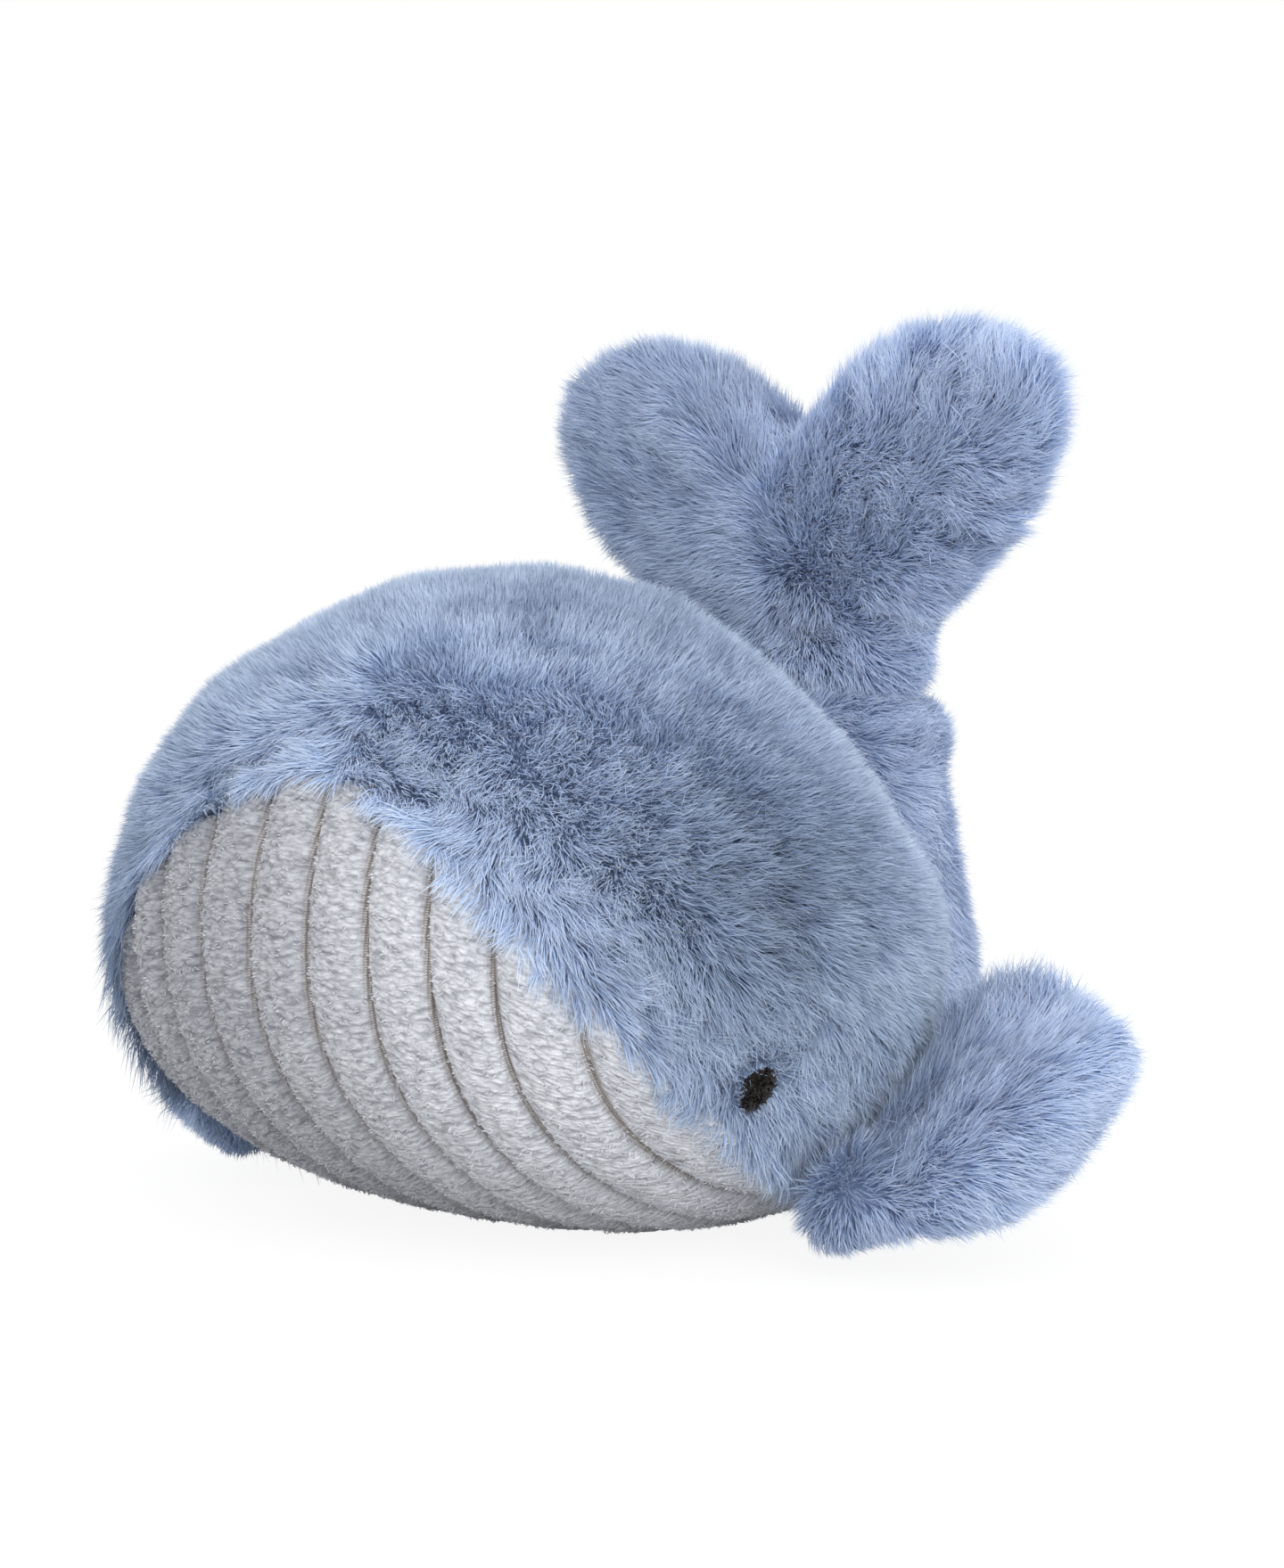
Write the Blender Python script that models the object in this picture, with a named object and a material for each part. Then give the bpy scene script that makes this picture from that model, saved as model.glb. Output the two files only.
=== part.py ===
"""Plush whale lying on its belly, nose towards -Y, +Z up, in metres.

Fur panels are shells of backing and pile around a fibre filling, and a pale
cord panel makes the throat and belly. The tail, the flukes and both flippers
are sewn on at rounded roots, and each bends about its root's own axis.
"""

import math

import bmesh
import bpy
from mathutils import Matrix, Vector

# Cloth, pile and seams
FUR_THICKNESS = 0.005
SEAM_GAP = 0.0003

# Body: an egg with a blunt nose, pressed flat where it lies
BODY_WIDTH = 0.192
BODY_HEIGHT = 0.150
NOSE_REACH = 0.086
REAR_REACH = 0.086
WAIST_HEIGHT = 0.074
BELLY_SQUASH = 0.0005
BELLY_TRAIL = 0.028
FRONT_ROUNDNESS = 2.4
REAR_ROUNDNESS = 2.0
TOP_ROUNDNESS = 2.0
BELLY_ROUNDNESS = 2.55
BACK_FALL_SHARE = 0.75
BACK_FALL_REACH_SHARE = 0.60

# Seam between the fur back and the cord belly, as angles from the body's centre
SEAM_NOSE_ANGLE = math.radians(23)
SEAM_REAR_ANGLE = math.radians(-54)
SEAM_SWEEP_POWER = 3.3

# Pouch of pellets in the belly
POUCH_LENGTH = 0.044
POUCH_WIDTH = 0.052
POUCH_HEIGHT = 0.030
POUCH_LIFT = 0.0006

# Eyes: embroidered ovals on the backing, sunk into the pile
EYE_LENGTH = 0.0105
EYE_BREADTH = 0.0075
EYE_THICKNESS = 0.0016
EYE_DEPTH = 0.0008
EYE_AZIMUTH = math.radians(67.5)
EYE_ANGLE = math.radians(-19.5)
EYE_SLANT = math.radians(15)

# Tail stock: a barrel at the root, and a column that narrows to the flukes
TAIL_BARREL_RADIUS = 0.038
TAIL_BARREL_WIDTH = 0.092
TAIL_FLOOR_GAP = 0.0005
TAIL_SET_OUT = 0.022
TAIL_FORWARD = math.radians(10)
TAIL_HEIGHT = 0.131
TAIL_TOP_WIDTH = 0.075
TAIL_TOP_DEPTH = 0.040
TAIL_TOP_ROUND = 0.008
TAIL_LEAN = 0.0015
TAIL_ROUNDNESS = 2.3
TAIL_BARREL_ROWS_SHARE = 0.6

# Flukes: two rounded lobes on a rounded neck
NECK_RADIUS = 0.016
NECK_LIFT = 0.009
FLUKE_SPAN = 0.155
FLUKE_CENTRE = 0.035
FLUKE_THICKNESS = 0.034
FLUKE_ROUNDNESS = 2.6
FLUKE_TILT = math.radians(4)

# Flippers: leaf-shaped paddles that lean on their lower edge
FLIPPER_LENGTH = 0.039
FLIPPER_CHORD = 0.073
FLIPPER_THICKNESS = 0.034
FLIPPER_ROOT_RADIUS = 0.010
FLIPPER_ROOT_CHORD = 0.087
FLIPPER_ROOT_LIFT = 0.0075
FLIPPER_AZIMUTH = math.radians(96.5)
FLIPPER_ANGLE = math.radians(-23.5)
FLIPPER_SLANT = math.radians(44)
FLIPPER_RISE = math.radians(29.5)
FLIPPER_SWEEP = 0.011
FLIPPER_ROUNDNESS = 2.4
FLIPPER_SWELL_SHARE = 0.95
FLIPPER_TIP_SHARE = 0.45

# Half outline of the flukes: angle from straight up, reach as a share of the half span
FLUKE_OUTLINE_SHARES = (
    (0, 0.27),
    (21, 0.40),
    (35, 0.61),
    (50, 0.89),
    (66, 1.04),
    (76, 1.03),
    (91, 0.89),
    (112, 0.70),
)

# The outline's foot, which goes round the neck: reach as a share of the way to the neck's far side
FLUKE_FOOT_SHARES = ((130, 0.988), (148, 1.018), (180, 1.0))

# Sewn on two by two
SIDES = ((1, "left"), (-1, "right"))

# Facets
SHARP_ANGLE = math.radians(45)
WELD = 0.000001
AROUND_HALF = 20
BACK_ROWS = 9
BELLY_ROWS = 8
LOFT_ROWS = 10
LOFT_HALF = 10
FLUKE_AROUND = 44
FLUKE_ROWS = 5
BAR_SIDES = 48
EYE_SIDES = 24
POUCH_SIDES = 20
BASE_SHARE = 0.8


def make_material(name, colour, roughness):
    """Return a plain Principled material."""
    material = bpy.data.materials.new(name)
    material.use_nodes = True
    shader = material.node_tree.nodes["Principled BSDF"]
    shader.inputs["Base Color"].default_value = (*colour, 1.0)
    shader.inputs["Roughness"].default_value = roughness
    shader.inputs["Metallic"].default_value = 0.0
    return material


def add_object(name, bm, material, frame=None):
    """Turn a bmesh into a named object, placed by its frame."""
    bmesh.ops.recalc_face_normals(bm, faces=bm.faces)
    mesh = bpy.data.meshes.new(name)
    bm.to_mesh(mesh)
    bm.free()
    mesh.shade_smooth()
    mesh.set_sharp_from_angle(angle=SHARP_ANGLE)
    piece = bpy.data.objects.new(name, mesh)
    bpy.context.collection.objects.link(piece)
    if material:
        piece.data.materials.append(material)
    piece.parent = frame
    return piece


def join_rows(bm, low, high, closed):
    """Fill between two rows with triangles; a row of one point is a pole."""
    count = max(len(low), len(high))
    for step in range(count if closed else count - 1):
        after = (step + 1) % count
        near_low, far_low = low[step % len(low)], low[after % len(low)]
        near_high, far_high = high[step % len(high)], high[after % len(high)]
        if len(low) > 1:
            bm.faces.new((near_low, far_low, far_high))
        if len(high) > 1:
            bm.faces.new((near_low, far_high, near_high))


def add_surface(bm, rows, closed):
    """Add the triangles of one surface and return its rows of vertices."""
    grid = [[bm.verts.new(point) for point in row] for row in rows]
    for low, high in zip(grid, grid[1:]):
        join_rows(bm, low, high, closed)
    return grid


def add_wall(bm, outer_rows, inner_rows, closed, side_rims):
    """Add an outer and an inner surface with the rims that close them."""
    outer = add_surface(bm, outer_rows, closed)
    inner = add_surface(bm, inner_rows, closed)
    for end in (0, -1):
        if len(outer[end]) > 1:
            join_rows(bm, outer[end], inner[end], closed)
    if side_rims:
        for side in (0, -1):
            join_rows(bm, [row[side] for row in outer], [row[side] for row in inner], False)


def merge_halves(bm):
    """Weld the points that two halves share."""
    bmesh.ops.remove_doubles(bm, verts=bm.verts, dist=WELD)
    return bm


def half_shell(rows):
    """Make one half of a walled cover from a function that gives rows at an inset."""
    bm = bmesh.new()
    add_wall(bm, rows(0), rows(FUR_THICKNESS), closed=False, side_rims=True)
    return bm


def solid(halves, closed):
    """Make a closed solid from the rows of its two halves."""
    bm = bmesh.new()
    for rows in halves:
        add_surface(bm, rows, closed)
    return merge_halves(bm)


def power(value, exponent):
    """Raise the size of a value to a power and keep its sign."""
    return math.copysign(abs(value) ** exponent, value)


def bulge(share, roundness):
    """Height of a rounded profile at a share of its reach."""
    return max(0.0, 1.0 - abs(share) ** roundness) ** (1.0 / roundness)


def smooth(share):
    """Ease from 0 to 1."""
    share = min(max(share, 0.0), 1.0)
    return share * share * (3.0 - 2.0 * share)


def mix(first, second, share):
    """Blend two values."""
    return first + (second - first) * share


def cut(piece, cutter):
    """Cut a piece with a hidden tool."""
    boolean = piece.modifiers.new(cutter.name, "BOOLEAN")
    boolean.operation = "DIFFERENCE"
    boolean.solver = "EXACT"
    boolean.object = cutter


def hide_tool(tool):
    """Show a cutter as wire only."""
    tool.hide_render = True
    tool.display_type = "WIRE"
    return tool


TAIL_HINGE_Y = REAR_REACH + TAIL_SET_OUT
TAIL_HINGE_Z = TAIL_BARREL_RADIUS + TAIL_FLOOR_GAP
TAIL_TOP = TAIL_HEIGHT - NECK_LIFT - TAIL_HINGE_Z
BODY_SHIFT = -(TAIL_HINGE_Y + TAIL_BARREL_RADIUS - NOSE_REACH) / 2


def body_point(azimuth, angle, inset):
    """Point on the egg at an azimuth from the nose and an angle above its waist."""
    across = math.sin(azimuth) * math.cos(angle)
    along = -math.cos(azimuth) * math.cos(angle)
    up = math.sin(angle)
    half_width = BODY_WIDTH / 2 - inset
    reach = (NOSE_REACH if along < 0 else REAR_REACH) - inset
    corner = FRONT_ROUNDNESS if along < 0 else REAR_ROUNDNESS
    rise = (BODY_HEIGHT - WAIST_HEIGHT if up > 0 else WAIST_HEIGHT + BELLY_SQUASH) - inset
    roundness = TOP_ROUNDNESS if up > 0 else BELLY_ROUNDNESS
    plan = (abs(across) / half_width) ** corner + (abs(along) / reach) ** corner
    total = plan ** (roundness / corner) + (abs(up) / rise) ** roundness
    radius = total ** (-1.0 / roundness)
    height = up * radius
    trail = BELLY_TRAIL * min(height / rise, 0.0) ** 2
    if along > 0 and up > 0:
        height *= 1.0 - BACK_FALL_SHARE * smooth(along * radius / reach / BACK_FALL_REACH_SHARE)
    return Vector((
        across * radius,
        along * radius + trail + BODY_SHIFT,
        max(height + WAIST_HEIGHT, inset),
    ))


def body_normal(azimuth, angle):
    """Outward direction of the egg's surface."""
    step = math.radians(1)
    sideways = body_point(azimuth + step, angle, 0) - body_point(azimuth - step, angle, 0)
    upwards = body_point(azimuth, angle + step, 0) - body_point(azimuth, angle - step, 0)
    return sideways.cross(upwards).normalized()


def seam_angle(azimuth):
    """Angle of the seam between back and belly at an azimuth from the nose."""
    share = ((1.0 + math.cos(azimuth)) / 2) ** SEAM_SWEEP_POWER
    return mix(SEAM_REAR_ANGLE, SEAM_NOSE_ANGLE, share)


def body_row(side, low, share, high, inset, parting):
    """Half ring of body points, a share of the way between two angles."""
    row = []
    for step in range(AROUND_HALF + 1):
        azimuth = math.pi * step / AROUND_HALF
        angle = mix(low(azimuth), high, share)
        point = body_point(azimuth, angle, inset)
        point.x = side * max(point.x, parting)
        if step in (0, AROUND_HALF):
            point.x = side * parting
        row.append(point)
    return row


def back_rows(side, inset, parting, lift):
    """Rows of one half of the back, from the seam up to the pole."""
    def low(azimuth):
        return seam_angle(azimuth) + lift

    rows = []
    for row in range(BACK_ROWS):
        rows.append(body_row(side, low, row / BACK_ROWS, math.pi / 2, inset, parting))
    top = body_point(0, math.pi / 2, inset)
    top.x = side * parting
    return rows + [[top]]


def belly_rows(side, inset, drop):
    """Rows of one half of the belly, from the seam down to the pole."""
    def high(azimuth):
        return seam_angle(azimuth) - drop

    rows = []
    for row in range(BELLY_ROWS):
        rows.append(body_row(side, high, row / BELLY_ROWS, -math.pi / 2, inset, 0))
    bottom = body_point(0, -math.pi / 2, inset)
    bottom.x = 0
    return rows + [[bottom]]


def loft_rows(point, side, axis, inset, parting):
    """Rows of one half of a loft, parted from the other half along an axis."""
    rows = []
    for row in range(LOFT_ROWS + 1):
        steps = range(LOFT_HALF + 1) if 0 < row < LOFT_ROWS else (0,)
        ring = []
        for step in steps:
            place = point(row / LOFT_ROWS, math.pi * step / LOFT_HALF, inset)
            place[axis] = side * max(place[axis], parting)
            if step in (0, LOFT_HALF):
                place[axis] = side * parting
            ring.append(place)
        rows.append(ring)
    return rows


def ease_ends(share):
    """Crowd stations towards both ends of a loft."""
    return (1.0 - math.cos(math.pi * share)) / 2


def circle(radius, height):
    """Half width of a circle at a height from its centre."""
    return math.sqrt(max(0.0, radius * radius - height * height))


def tail_height(share, radius, half_depth, top):
    """Height of a station: round the barrel first, then up the column."""
    shoulder = math.acos(half_depth / radius)
    if share <= TAIL_BARREL_ROWS_SHARE:
        return radius * math.sin(mix(-math.pi / 2, shoulder, share / TAIL_BARREL_ROWS_SHARE))
    climb = (share - TAIL_BARREL_ROWS_SHARE) / (1.0 - TAIL_BARREL_ROWS_SHARE)
    return mix(radius * math.sin(shoulder), top, math.sin(math.pi / 2 * climb))


def tail_point(share, turn, inset):
    """Point on the tail stock, measured from its hinge."""
    radius = TAIL_BARREL_RADIUS - inset
    half_depth = TAIL_TOP_DEPTH / 2 - inset
    top = TAIL_TOP - inset
    height = tail_height(share, radius, half_depth, top)
    rise = smooth(height / top)
    end = bulge(1.0 - (top - height) / TAIL_TOP_ROUND, 2) if top - height < TAIL_TOP_ROUND else 1.0
    width = mix(TAIL_BARREL_WIDTH / 2, TAIL_TOP_WIDTH / 2, rise) - inset
    if height < 0:
        width = (TAIL_BARREL_WIDTH / 2 - inset) * bulge(height / radius, TAIL_ROUNDNESS)
    front = circle(radius, height)
    rear = front
    if height > 0:
        front = max(front, half_depth)
        rear = mix(radius, half_depth, rise)
    depth = front if math.cos(turn) > 0 else rear
    return Vector((
        end * width * power(math.sin(turn), 2 / TAIL_ROUNDNESS),
        TAIL_LEAN * rise - end * depth * power(math.cos(turn), 2 / TAIL_ROUNDNESS),
        height,
    ))


def fluke_reach(turn):
    """Reach of the flukes' outline at an angle from straight up."""
    degrees = abs(math.degrees(turn))
    half_span, foot = FLUKE_SPAN / 2, FLUKE_CENTRE + NECK_RADIUS
    outline = [(angle, share * half_span) for angle, share in FLUKE_OUTLINE_SHARES]
    outline += [(angle, share * foot) for angle, share in FLUKE_FOOT_SHARES]
    for (low, first), (high, second) in zip(outline, outline[1:]):
        if degrees <= high:
            return mix(first, second, smooth((degrees - low) / (high - low)))
    return foot


def fluke_point(share, turn, inset):
    """Point on the front face of the flukes, measured from the neck's axis."""
    reach = (fluke_reach(turn) - inset) * share
    height = FLUKE_CENTRE + reach * math.cos(turn)
    thick = (FLUKE_THICKNESS / 2 - inset) * bulge(share, FLUKE_ROUNDNESS)
    if height < 0:
        thick = min(thick, circle(NECK_RADIUS - inset, height))
    return Vector((reach * math.sin(turn), thick, height))


def fluke_rows(side, inset, parting):
    """Rows of one face of the flukes, from its middle out to the rim."""
    rows = []
    for row in range(FLUKE_ROWS + 1):
        share = math.sin(math.pi / 2 * row / FLUKE_ROWS)
        steps = range(FLUKE_AROUND) if row else (0,)
        ring = []
        for step in steps:
            place = fluke_point(share, mix(-math.pi, math.pi, step / FLUKE_AROUND), inset)
            place.y = side * (parting if row == FLUKE_ROWS else max(place.y, parting))
            ring.append(place)
        rows.append(ring)
    return rows


def flipper_point(share, turn, inset, side):
    """Point on a flipper: x along it, y along its root axis, z through it."""
    radius = FLIPPER_ROOT_RADIUS - inset
    span = mix(-radius, FLIPPER_LENGTH - inset, ease_ends(share))
    swell = smooth(span / FLIPPER_LENGTH / FLIPPER_SWELL_SHARE)
    tip_start = FLIPPER_LENGTH * FLIPPER_TIP_SHARE
    end = 1.0
    if span > tip_start:
        tip_reach = FLIPPER_LENGTH - inset - tip_start
        end = bulge((span - tip_start) / tip_reach, FLIPPER_ROUNDNESS)
    chord = mix(FLIPPER_ROOT_CHORD / 2, FLIPPER_CHORD / 2, swell) - inset
    thick = mix(FLIPPER_ROOT_RADIUS, FLIPPER_THICKNESS / 2, swell) - inset
    if span < 0:
        chord = (FLIPPER_ROOT_CHORD / 2 - inset) * bulge(span / radius, FLIPPER_ROUNDNESS)
        thick = circle(radius, span)
    sweep = FLIPPER_SWEEP * max(0.0, span / FLIPPER_LENGTH) ** 2
    return Vector((
        span,
        side * (sweep - end * chord * power(math.cos(turn), 2 / FLIPPER_ROUNDNESS)),
        end * thick * power(math.sin(turn), 2 / FLIPPER_ROUNDNESS),
    ))


def flipper_frame(side):
    """Place of a flipper's root axis on the body's flank."""
    azimuth = side * FLIPPER_AZIMUTH
    normal = body_normal(azimuth, FLIPPER_ANGLE)
    place = body_point(azimuth, FLIPPER_ANGLE, 0) + normal * FLIPPER_ROOT_LIFT
    rearward = Vector((0, 0, 1)).cross(normal).normalized() * side
    upward = (normal.cross(rearward) * side).normalized()
    axis = (rearward * math.cos(FLIPPER_SLANT) + upward * math.sin(FLIPPER_SLANT)) * side
    span = normal.copy()
    span.rotate(Matrix.Rotation(-FLIPPER_RISE, 3, axis))
    face = span.cross(axis)
    turn = Matrix((span, axis, face)).transposed().to_4x4()
    return Matrix.Translation(place) @ turn


def add_frame(name, matrix):
    """Add an empty that carries the pieces of one moving part."""
    frame = bpy.data.objects.new(name, None)
    bpy.context.collection.objects.link(frame)
    frame.matrix_world = matrix
    return frame


def add_bar(name, radius, length, axis, frame):
    """Add a round bar along a frame's x or y axis, as a cutting tool."""
    bm = bmesh.new()
    turn = Matrix.Rotation(math.pi / 2, 4, "Y" if axis == "X" else "X")
    bmesh.ops.create_cone(
        bm, cap_ends=True, segments=BAR_SIDES, radius1=radius, radius2=radius, depth=length, matrix=turn,
    )
    return hide_tool(add_object(name, bm, None, frame))


def oval_mesh(length, breadth, low, high):
    """Make an oval block between two heights."""
    bm = bmesh.new()
    bmesh.ops.create_cone(
        bm, cap_ends=True, segments=EYE_SIDES, radius1=1, radius2=1, depth=1,
    )
    for vertex in bm.verts:
        height = high if vertex.co.z > 0 else low
        vertex.co = Vector((vertex.co.x * length / 2, vertex.co.y * breadth / 2, height))
    return bm


def dome_mesh(length, width, low, high):
    """Make a dome with a flat base."""
    bm = bmesh.new()
    bmesh.ops.create_uvsphere(bm, u_segments=POUCH_SIDES, v_segments=POUCH_SIDES // 2, radius=1)
    below = [vertex for vertex in bm.verts if vertex.co.z < -BASE_SHARE]
    bmesh.ops.delete(bm, geom=below, context="VERTS")
    rim = [edge for edge in bm.edges if edge.is_boundary]
    bmesh.ops.holes_fill(bm, edges=rim)
    floor = min(vertex.co.z for vertex in bm.verts)
    for vertex in bm.verts:
        share = (vertex.co.z - floor) / (1 - floor)
        vertex.co = Vector((
            vertex.co.x * width / 2,
            vertex.co.y * length / 2,
            mix(low, high, share),
        ))
    return bm


def eye_frame(side):
    """Place of an eye: z outwards, x along the oval."""
    azimuth = side * EYE_AZIMUTH
    normal = body_normal(azimuth, EYE_ANGLE)
    place = body_point(azimuth, EYE_ANGLE, 0)
    level = Vector((0, 0, 1)).cross(normal).normalized()
    upward = normal.cross(level)
    along = upward * math.cos(EYE_SLANT) + level * (side * math.sin(EYE_SLANT))
    turn = Matrix((along, normal.cross(along), normal)).transposed().to_4x4()
    return Matrix.Translation(place) @ turn


def build_body(materials, frames):
    """Add the body's panels, filling and pouch, seated against the tail."""
    lift = SEAM_GAP / BODY_WIDTH
    inner = FUR_THICKNESS + SEAM_GAP
    pieces = []
    for side, word in SIDES:
        bm = half_shell(lambda inset: back_rows(side, inset, SEAM_GAP / 2, lift))
        pieces.append(add_object("back_panel_" + word, bm, materials["fur"]))
    bm = bmesh.new()
    for side, _ in SIDES:
        add_wall(bm, belly_rows(side, 0, lift), belly_rows(side, FUR_THICKNESS, lift), False, False)
    pieces.append(add_object("belly_panel", merge_halves(bm), materials["cord"]))
    halves = []
    for side, _ in SIDES:
        halves.append(back_rows(side, inner, 0, 0))
        halves.append(belly_rows(side, inner, 0))
    filling = add_object("body_filling", solid(halves, False), materials["fibre"])
    pieces.append(filling)

    seat = add_bar("tail_seat_tool", TAIL_BARREL_RADIUS + SEAM_GAP, 2 * BODY_WIDTH, "X", frames["tail"])
    room = 2 * BODY_WIDTH
    front = TAIL_TOP_DEPTH / 2 + max(-TAIL_LEAN, 0) + SEAM_GAP
    bm = bmesh.new()
    bmesh.ops.create_cube(bm, size=room)
    bmesh.ops.translate(bm, verts=bm.verts, vec=(0, room / 2 - front, room / 2))
    bmesh.ops.rotate(bm, verts=bm.verts, matrix=Matrix.Rotation(TAIL_FORWARD, 3, "X"))
    behind = hide_tool(add_object("tail_room_tool", bm, None, frames["tail"]))
    for piece in pieces:
        cut(piece, seat)
        cut(piece, behind)

    rest = inner + POUCH_LIFT
    frame = add_frame("pouch_place", Matrix.Translation((0, BODY_SHIFT + BELLY_TRAIL, rest)))
    bm = dome_mesh(POUCH_LENGTH, POUCH_WIDTH, 0, POUCH_HEIGHT)
    add_object("pellet_pouch", bm, materials["pouch"], frame)
    bm = dome_mesh(
        POUCH_LENGTH + 2 * SEAM_GAP, POUCH_WIDTH + 2 * SEAM_GAP, -POUCH_LIFT - SEAM_GAP,
        POUCH_HEIGHT + SEAM_GAP,
    )
    cut(filling, hide_tool(add_object("pouch_recess_tool", bm, None, frame)))
    return pieces


def build_eyes(materials, panels):
    """Add the eyes, each in a pocket in the pile."""
    low = -EYE_DEPTH - EYE_THICKNESS
    for (side, word), panel in zip(SIDES, panels):
        frame = add_frame("eye_place_" + word, eye_frame(side))
        bm = oval_mesh(EYE_LENGTH, EYE_BREADTH, low, -EYE_DEPTH)
        add_object("eye_" + word, bm, materials["thread"], frame)
        bm = oval_mesh(
            EYE_LENGTH + 2 * SEAM_GAP, EYE_BREADTH + 2 * SEAM_GAP, low - SEAM_GAP, EYE_LENGTH,
        )
        cut(panel, hide_tool(add_object("eye_pocket_tool_" + word, bm, None, frame)))


def build_tail(materials, frames):
    """Add the tail stock, with a seat for the flukes' neck at its top."""
    pieces = []
    for side, word in SIDES:
        bm = half_shell(lambda inset: loft_rows(tail_point, side, 0, inset, SEAM_GAP / 2))
        pieces.append(add_object("tail_panel_" + word, bm, materials["fur"], frames["tail"]))
    inner = FUR_THICKNESS + SEAM_GAP
    halves = [loft_rows(tail_point, side, 0, inner, 0) for side, _ in SIDES]
    pieces.append(add_object("tail_filling", solid(halves, False), materials["fibre"], frames["tail"]))
    seat = add_bar("neck_seat_tool", NECK_RADIUS + SEAM_GAP, 2 * TAIL_TOP_WIDTH, "X", frames["fluke"])
    for piece in pieces:
        cut(piece, seat)


def build_flukes(materials, frames):
    """Add the two faces of the flukes and what fills them."""
    for side, word in ((-1, "front"), (1, "back")):
        bm = bmesh.new()
        outer = fluke_rows(side, 0, SEAM_GAP / 2)
        add_wall(bm, outer, fluke_rows(side, FUR_THICKNESS, SEAM_GAP / 2), True, False)
        add_object("fluke_panel_" + word, bm, materials["fur"], frames["fluke"])
    inner = FUR_THICKNESS + SEAM_GAP
    halves = [fluke_rows(side, inner, 0) for side in (-1, 1)]
    add_object("fluke_filling", solid(halves, True), materials["fibre"], frames["fluke"])


def build_flippers(materials, body_pieces):
    """Add both flippers and seat their roots in the body."""
    inner = FUR_THICKNESS + SEAM_GAP
    for side, word in SIDES:
        frame = add_frame("flipper_hinge_" + word, flipper_frame(side))

        def point(share, turn, inset):
            return flipper_point(share, turn, inset, side)

        for face, face_word in ((1, "upper"), (-1, "lower")):
            bm = half_shell(lambda inset: loft_rows(point, face, 2, inset, SEAM_GAP / 2))
            add_object("flipper_%s_%s" % (word, face_word), bm, materials["fur"], frame)
        halves = [loft_rows(point, face, 2, inner, 0) for face in (1, -1)]
        add_object("flipper_%s_filling" % word, solid(halves, False), materials["fibre"], frame)
        seat = add_bar(
            "flipper_seat_tool_" + word, FLIPPER_ROOT_RADIUS + SEAM_GAP, 2 * FLIPPER_ROOT_CHORD, "Y",
            frame,
        )
        for piece in body_pieces:
            cut(piece, seat)


def main():
    """Build the whole toy."""
    for old in list(bpy.data.objects):
        bpy.data.objects.remove(old)
    materials = {
        "fur": make_material("blue_grey_fur", (0.21, 0.29, 0.43), 0.95),
        "cord": make_material("pale_jumbo_cord", (0.60, 0.61, 0.63), 0.90),
        "thread": make_material("dark_satin_thread", (0.013, 0.011, 0.010), 0.45),
        "fibre": make_material("white_polyester_fibre", (0.85, 0.85, 0.85), 0.95),
        "pouch": make_material("pouch_cloth", (0.70, 0.70, 0.68), 0.90),
    }
    hinge_y = TAIL_HINGE_Y + BODY_SHIFT
    neck = Matrix.Translation((0, hinge_y + TAIL_LEAN, TAIL_HEIGHT))
    frames = {
        "tail": add_frame("tail_hinge", Matrix.Translation((0, hinge_y, TAIL_HINGE_Z))),
        "fluke": add_frame("fluke_hinge", neck @ Matrix.Rotation(FLUKE_TILT, 4, "X")),
    }
    body_pieces = build_body(materials, frames)
    build_eyes(materials, body_pieces[:2])
    build_tail(materials, frames)
    build_flukes(materials, frames)
    build_flippers(materials, body_pieces)


main()
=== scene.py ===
import math

import bpy
import numpy as np
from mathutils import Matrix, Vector, kdtree
from mathutils.bvhtree import BVHTree


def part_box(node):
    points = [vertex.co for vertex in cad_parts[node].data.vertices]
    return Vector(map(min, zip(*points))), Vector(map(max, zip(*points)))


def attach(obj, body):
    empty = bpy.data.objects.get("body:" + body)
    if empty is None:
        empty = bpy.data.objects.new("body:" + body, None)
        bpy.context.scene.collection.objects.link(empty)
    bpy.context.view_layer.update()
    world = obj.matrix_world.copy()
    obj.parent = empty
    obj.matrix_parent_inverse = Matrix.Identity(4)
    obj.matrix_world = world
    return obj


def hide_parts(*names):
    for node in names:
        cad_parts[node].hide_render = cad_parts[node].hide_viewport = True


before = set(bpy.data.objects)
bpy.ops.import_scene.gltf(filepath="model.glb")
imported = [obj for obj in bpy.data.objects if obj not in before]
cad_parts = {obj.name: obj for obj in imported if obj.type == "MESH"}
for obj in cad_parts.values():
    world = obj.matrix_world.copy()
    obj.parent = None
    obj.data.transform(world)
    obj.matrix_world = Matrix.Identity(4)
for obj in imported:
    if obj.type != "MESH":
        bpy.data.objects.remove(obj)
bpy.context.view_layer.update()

# The camera's lens and frame, in the reference picture's pixels, and the light from all round.
FOCAL_LENGTH = 3570.0
FRAME_HEIGHT = 1759.0
SENSOR_WIDTH = 36.0
FILL_LIGHT = 0.74

# The sewn egg of the body, in metres, as in the frame.
BODY_WIDTH = 0.192
BODY_HEIGHT = 0.150
NOSE_REACH = 0.086
REAR_REACH = 0.086
WAIST_HEIGHT = 0.074
BELLY_SQUASH = 0.0005
BELLY_TRAIL = 0.028
BODY_SHIFT = -0.030
FRONT_ROUNDNESS = 2.4
REAR_ROUNDNESS = 2.0
TOP_ROUNDNESS = 2.0
BELLY_ROUNDNESS = 2.55
SEAM_NOSE_ANGLE = math.radians(23)
SEAM_REAR_ANGLE = math.radians(-54)
SEAM_SWEEP_POWER = 3.3

# Stuffed skins that carry the pile.
SKIN_VOXEL = 0.004
SKIN_INSET = 0.0066
SKIN_SWELL = 0.0015

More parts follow.
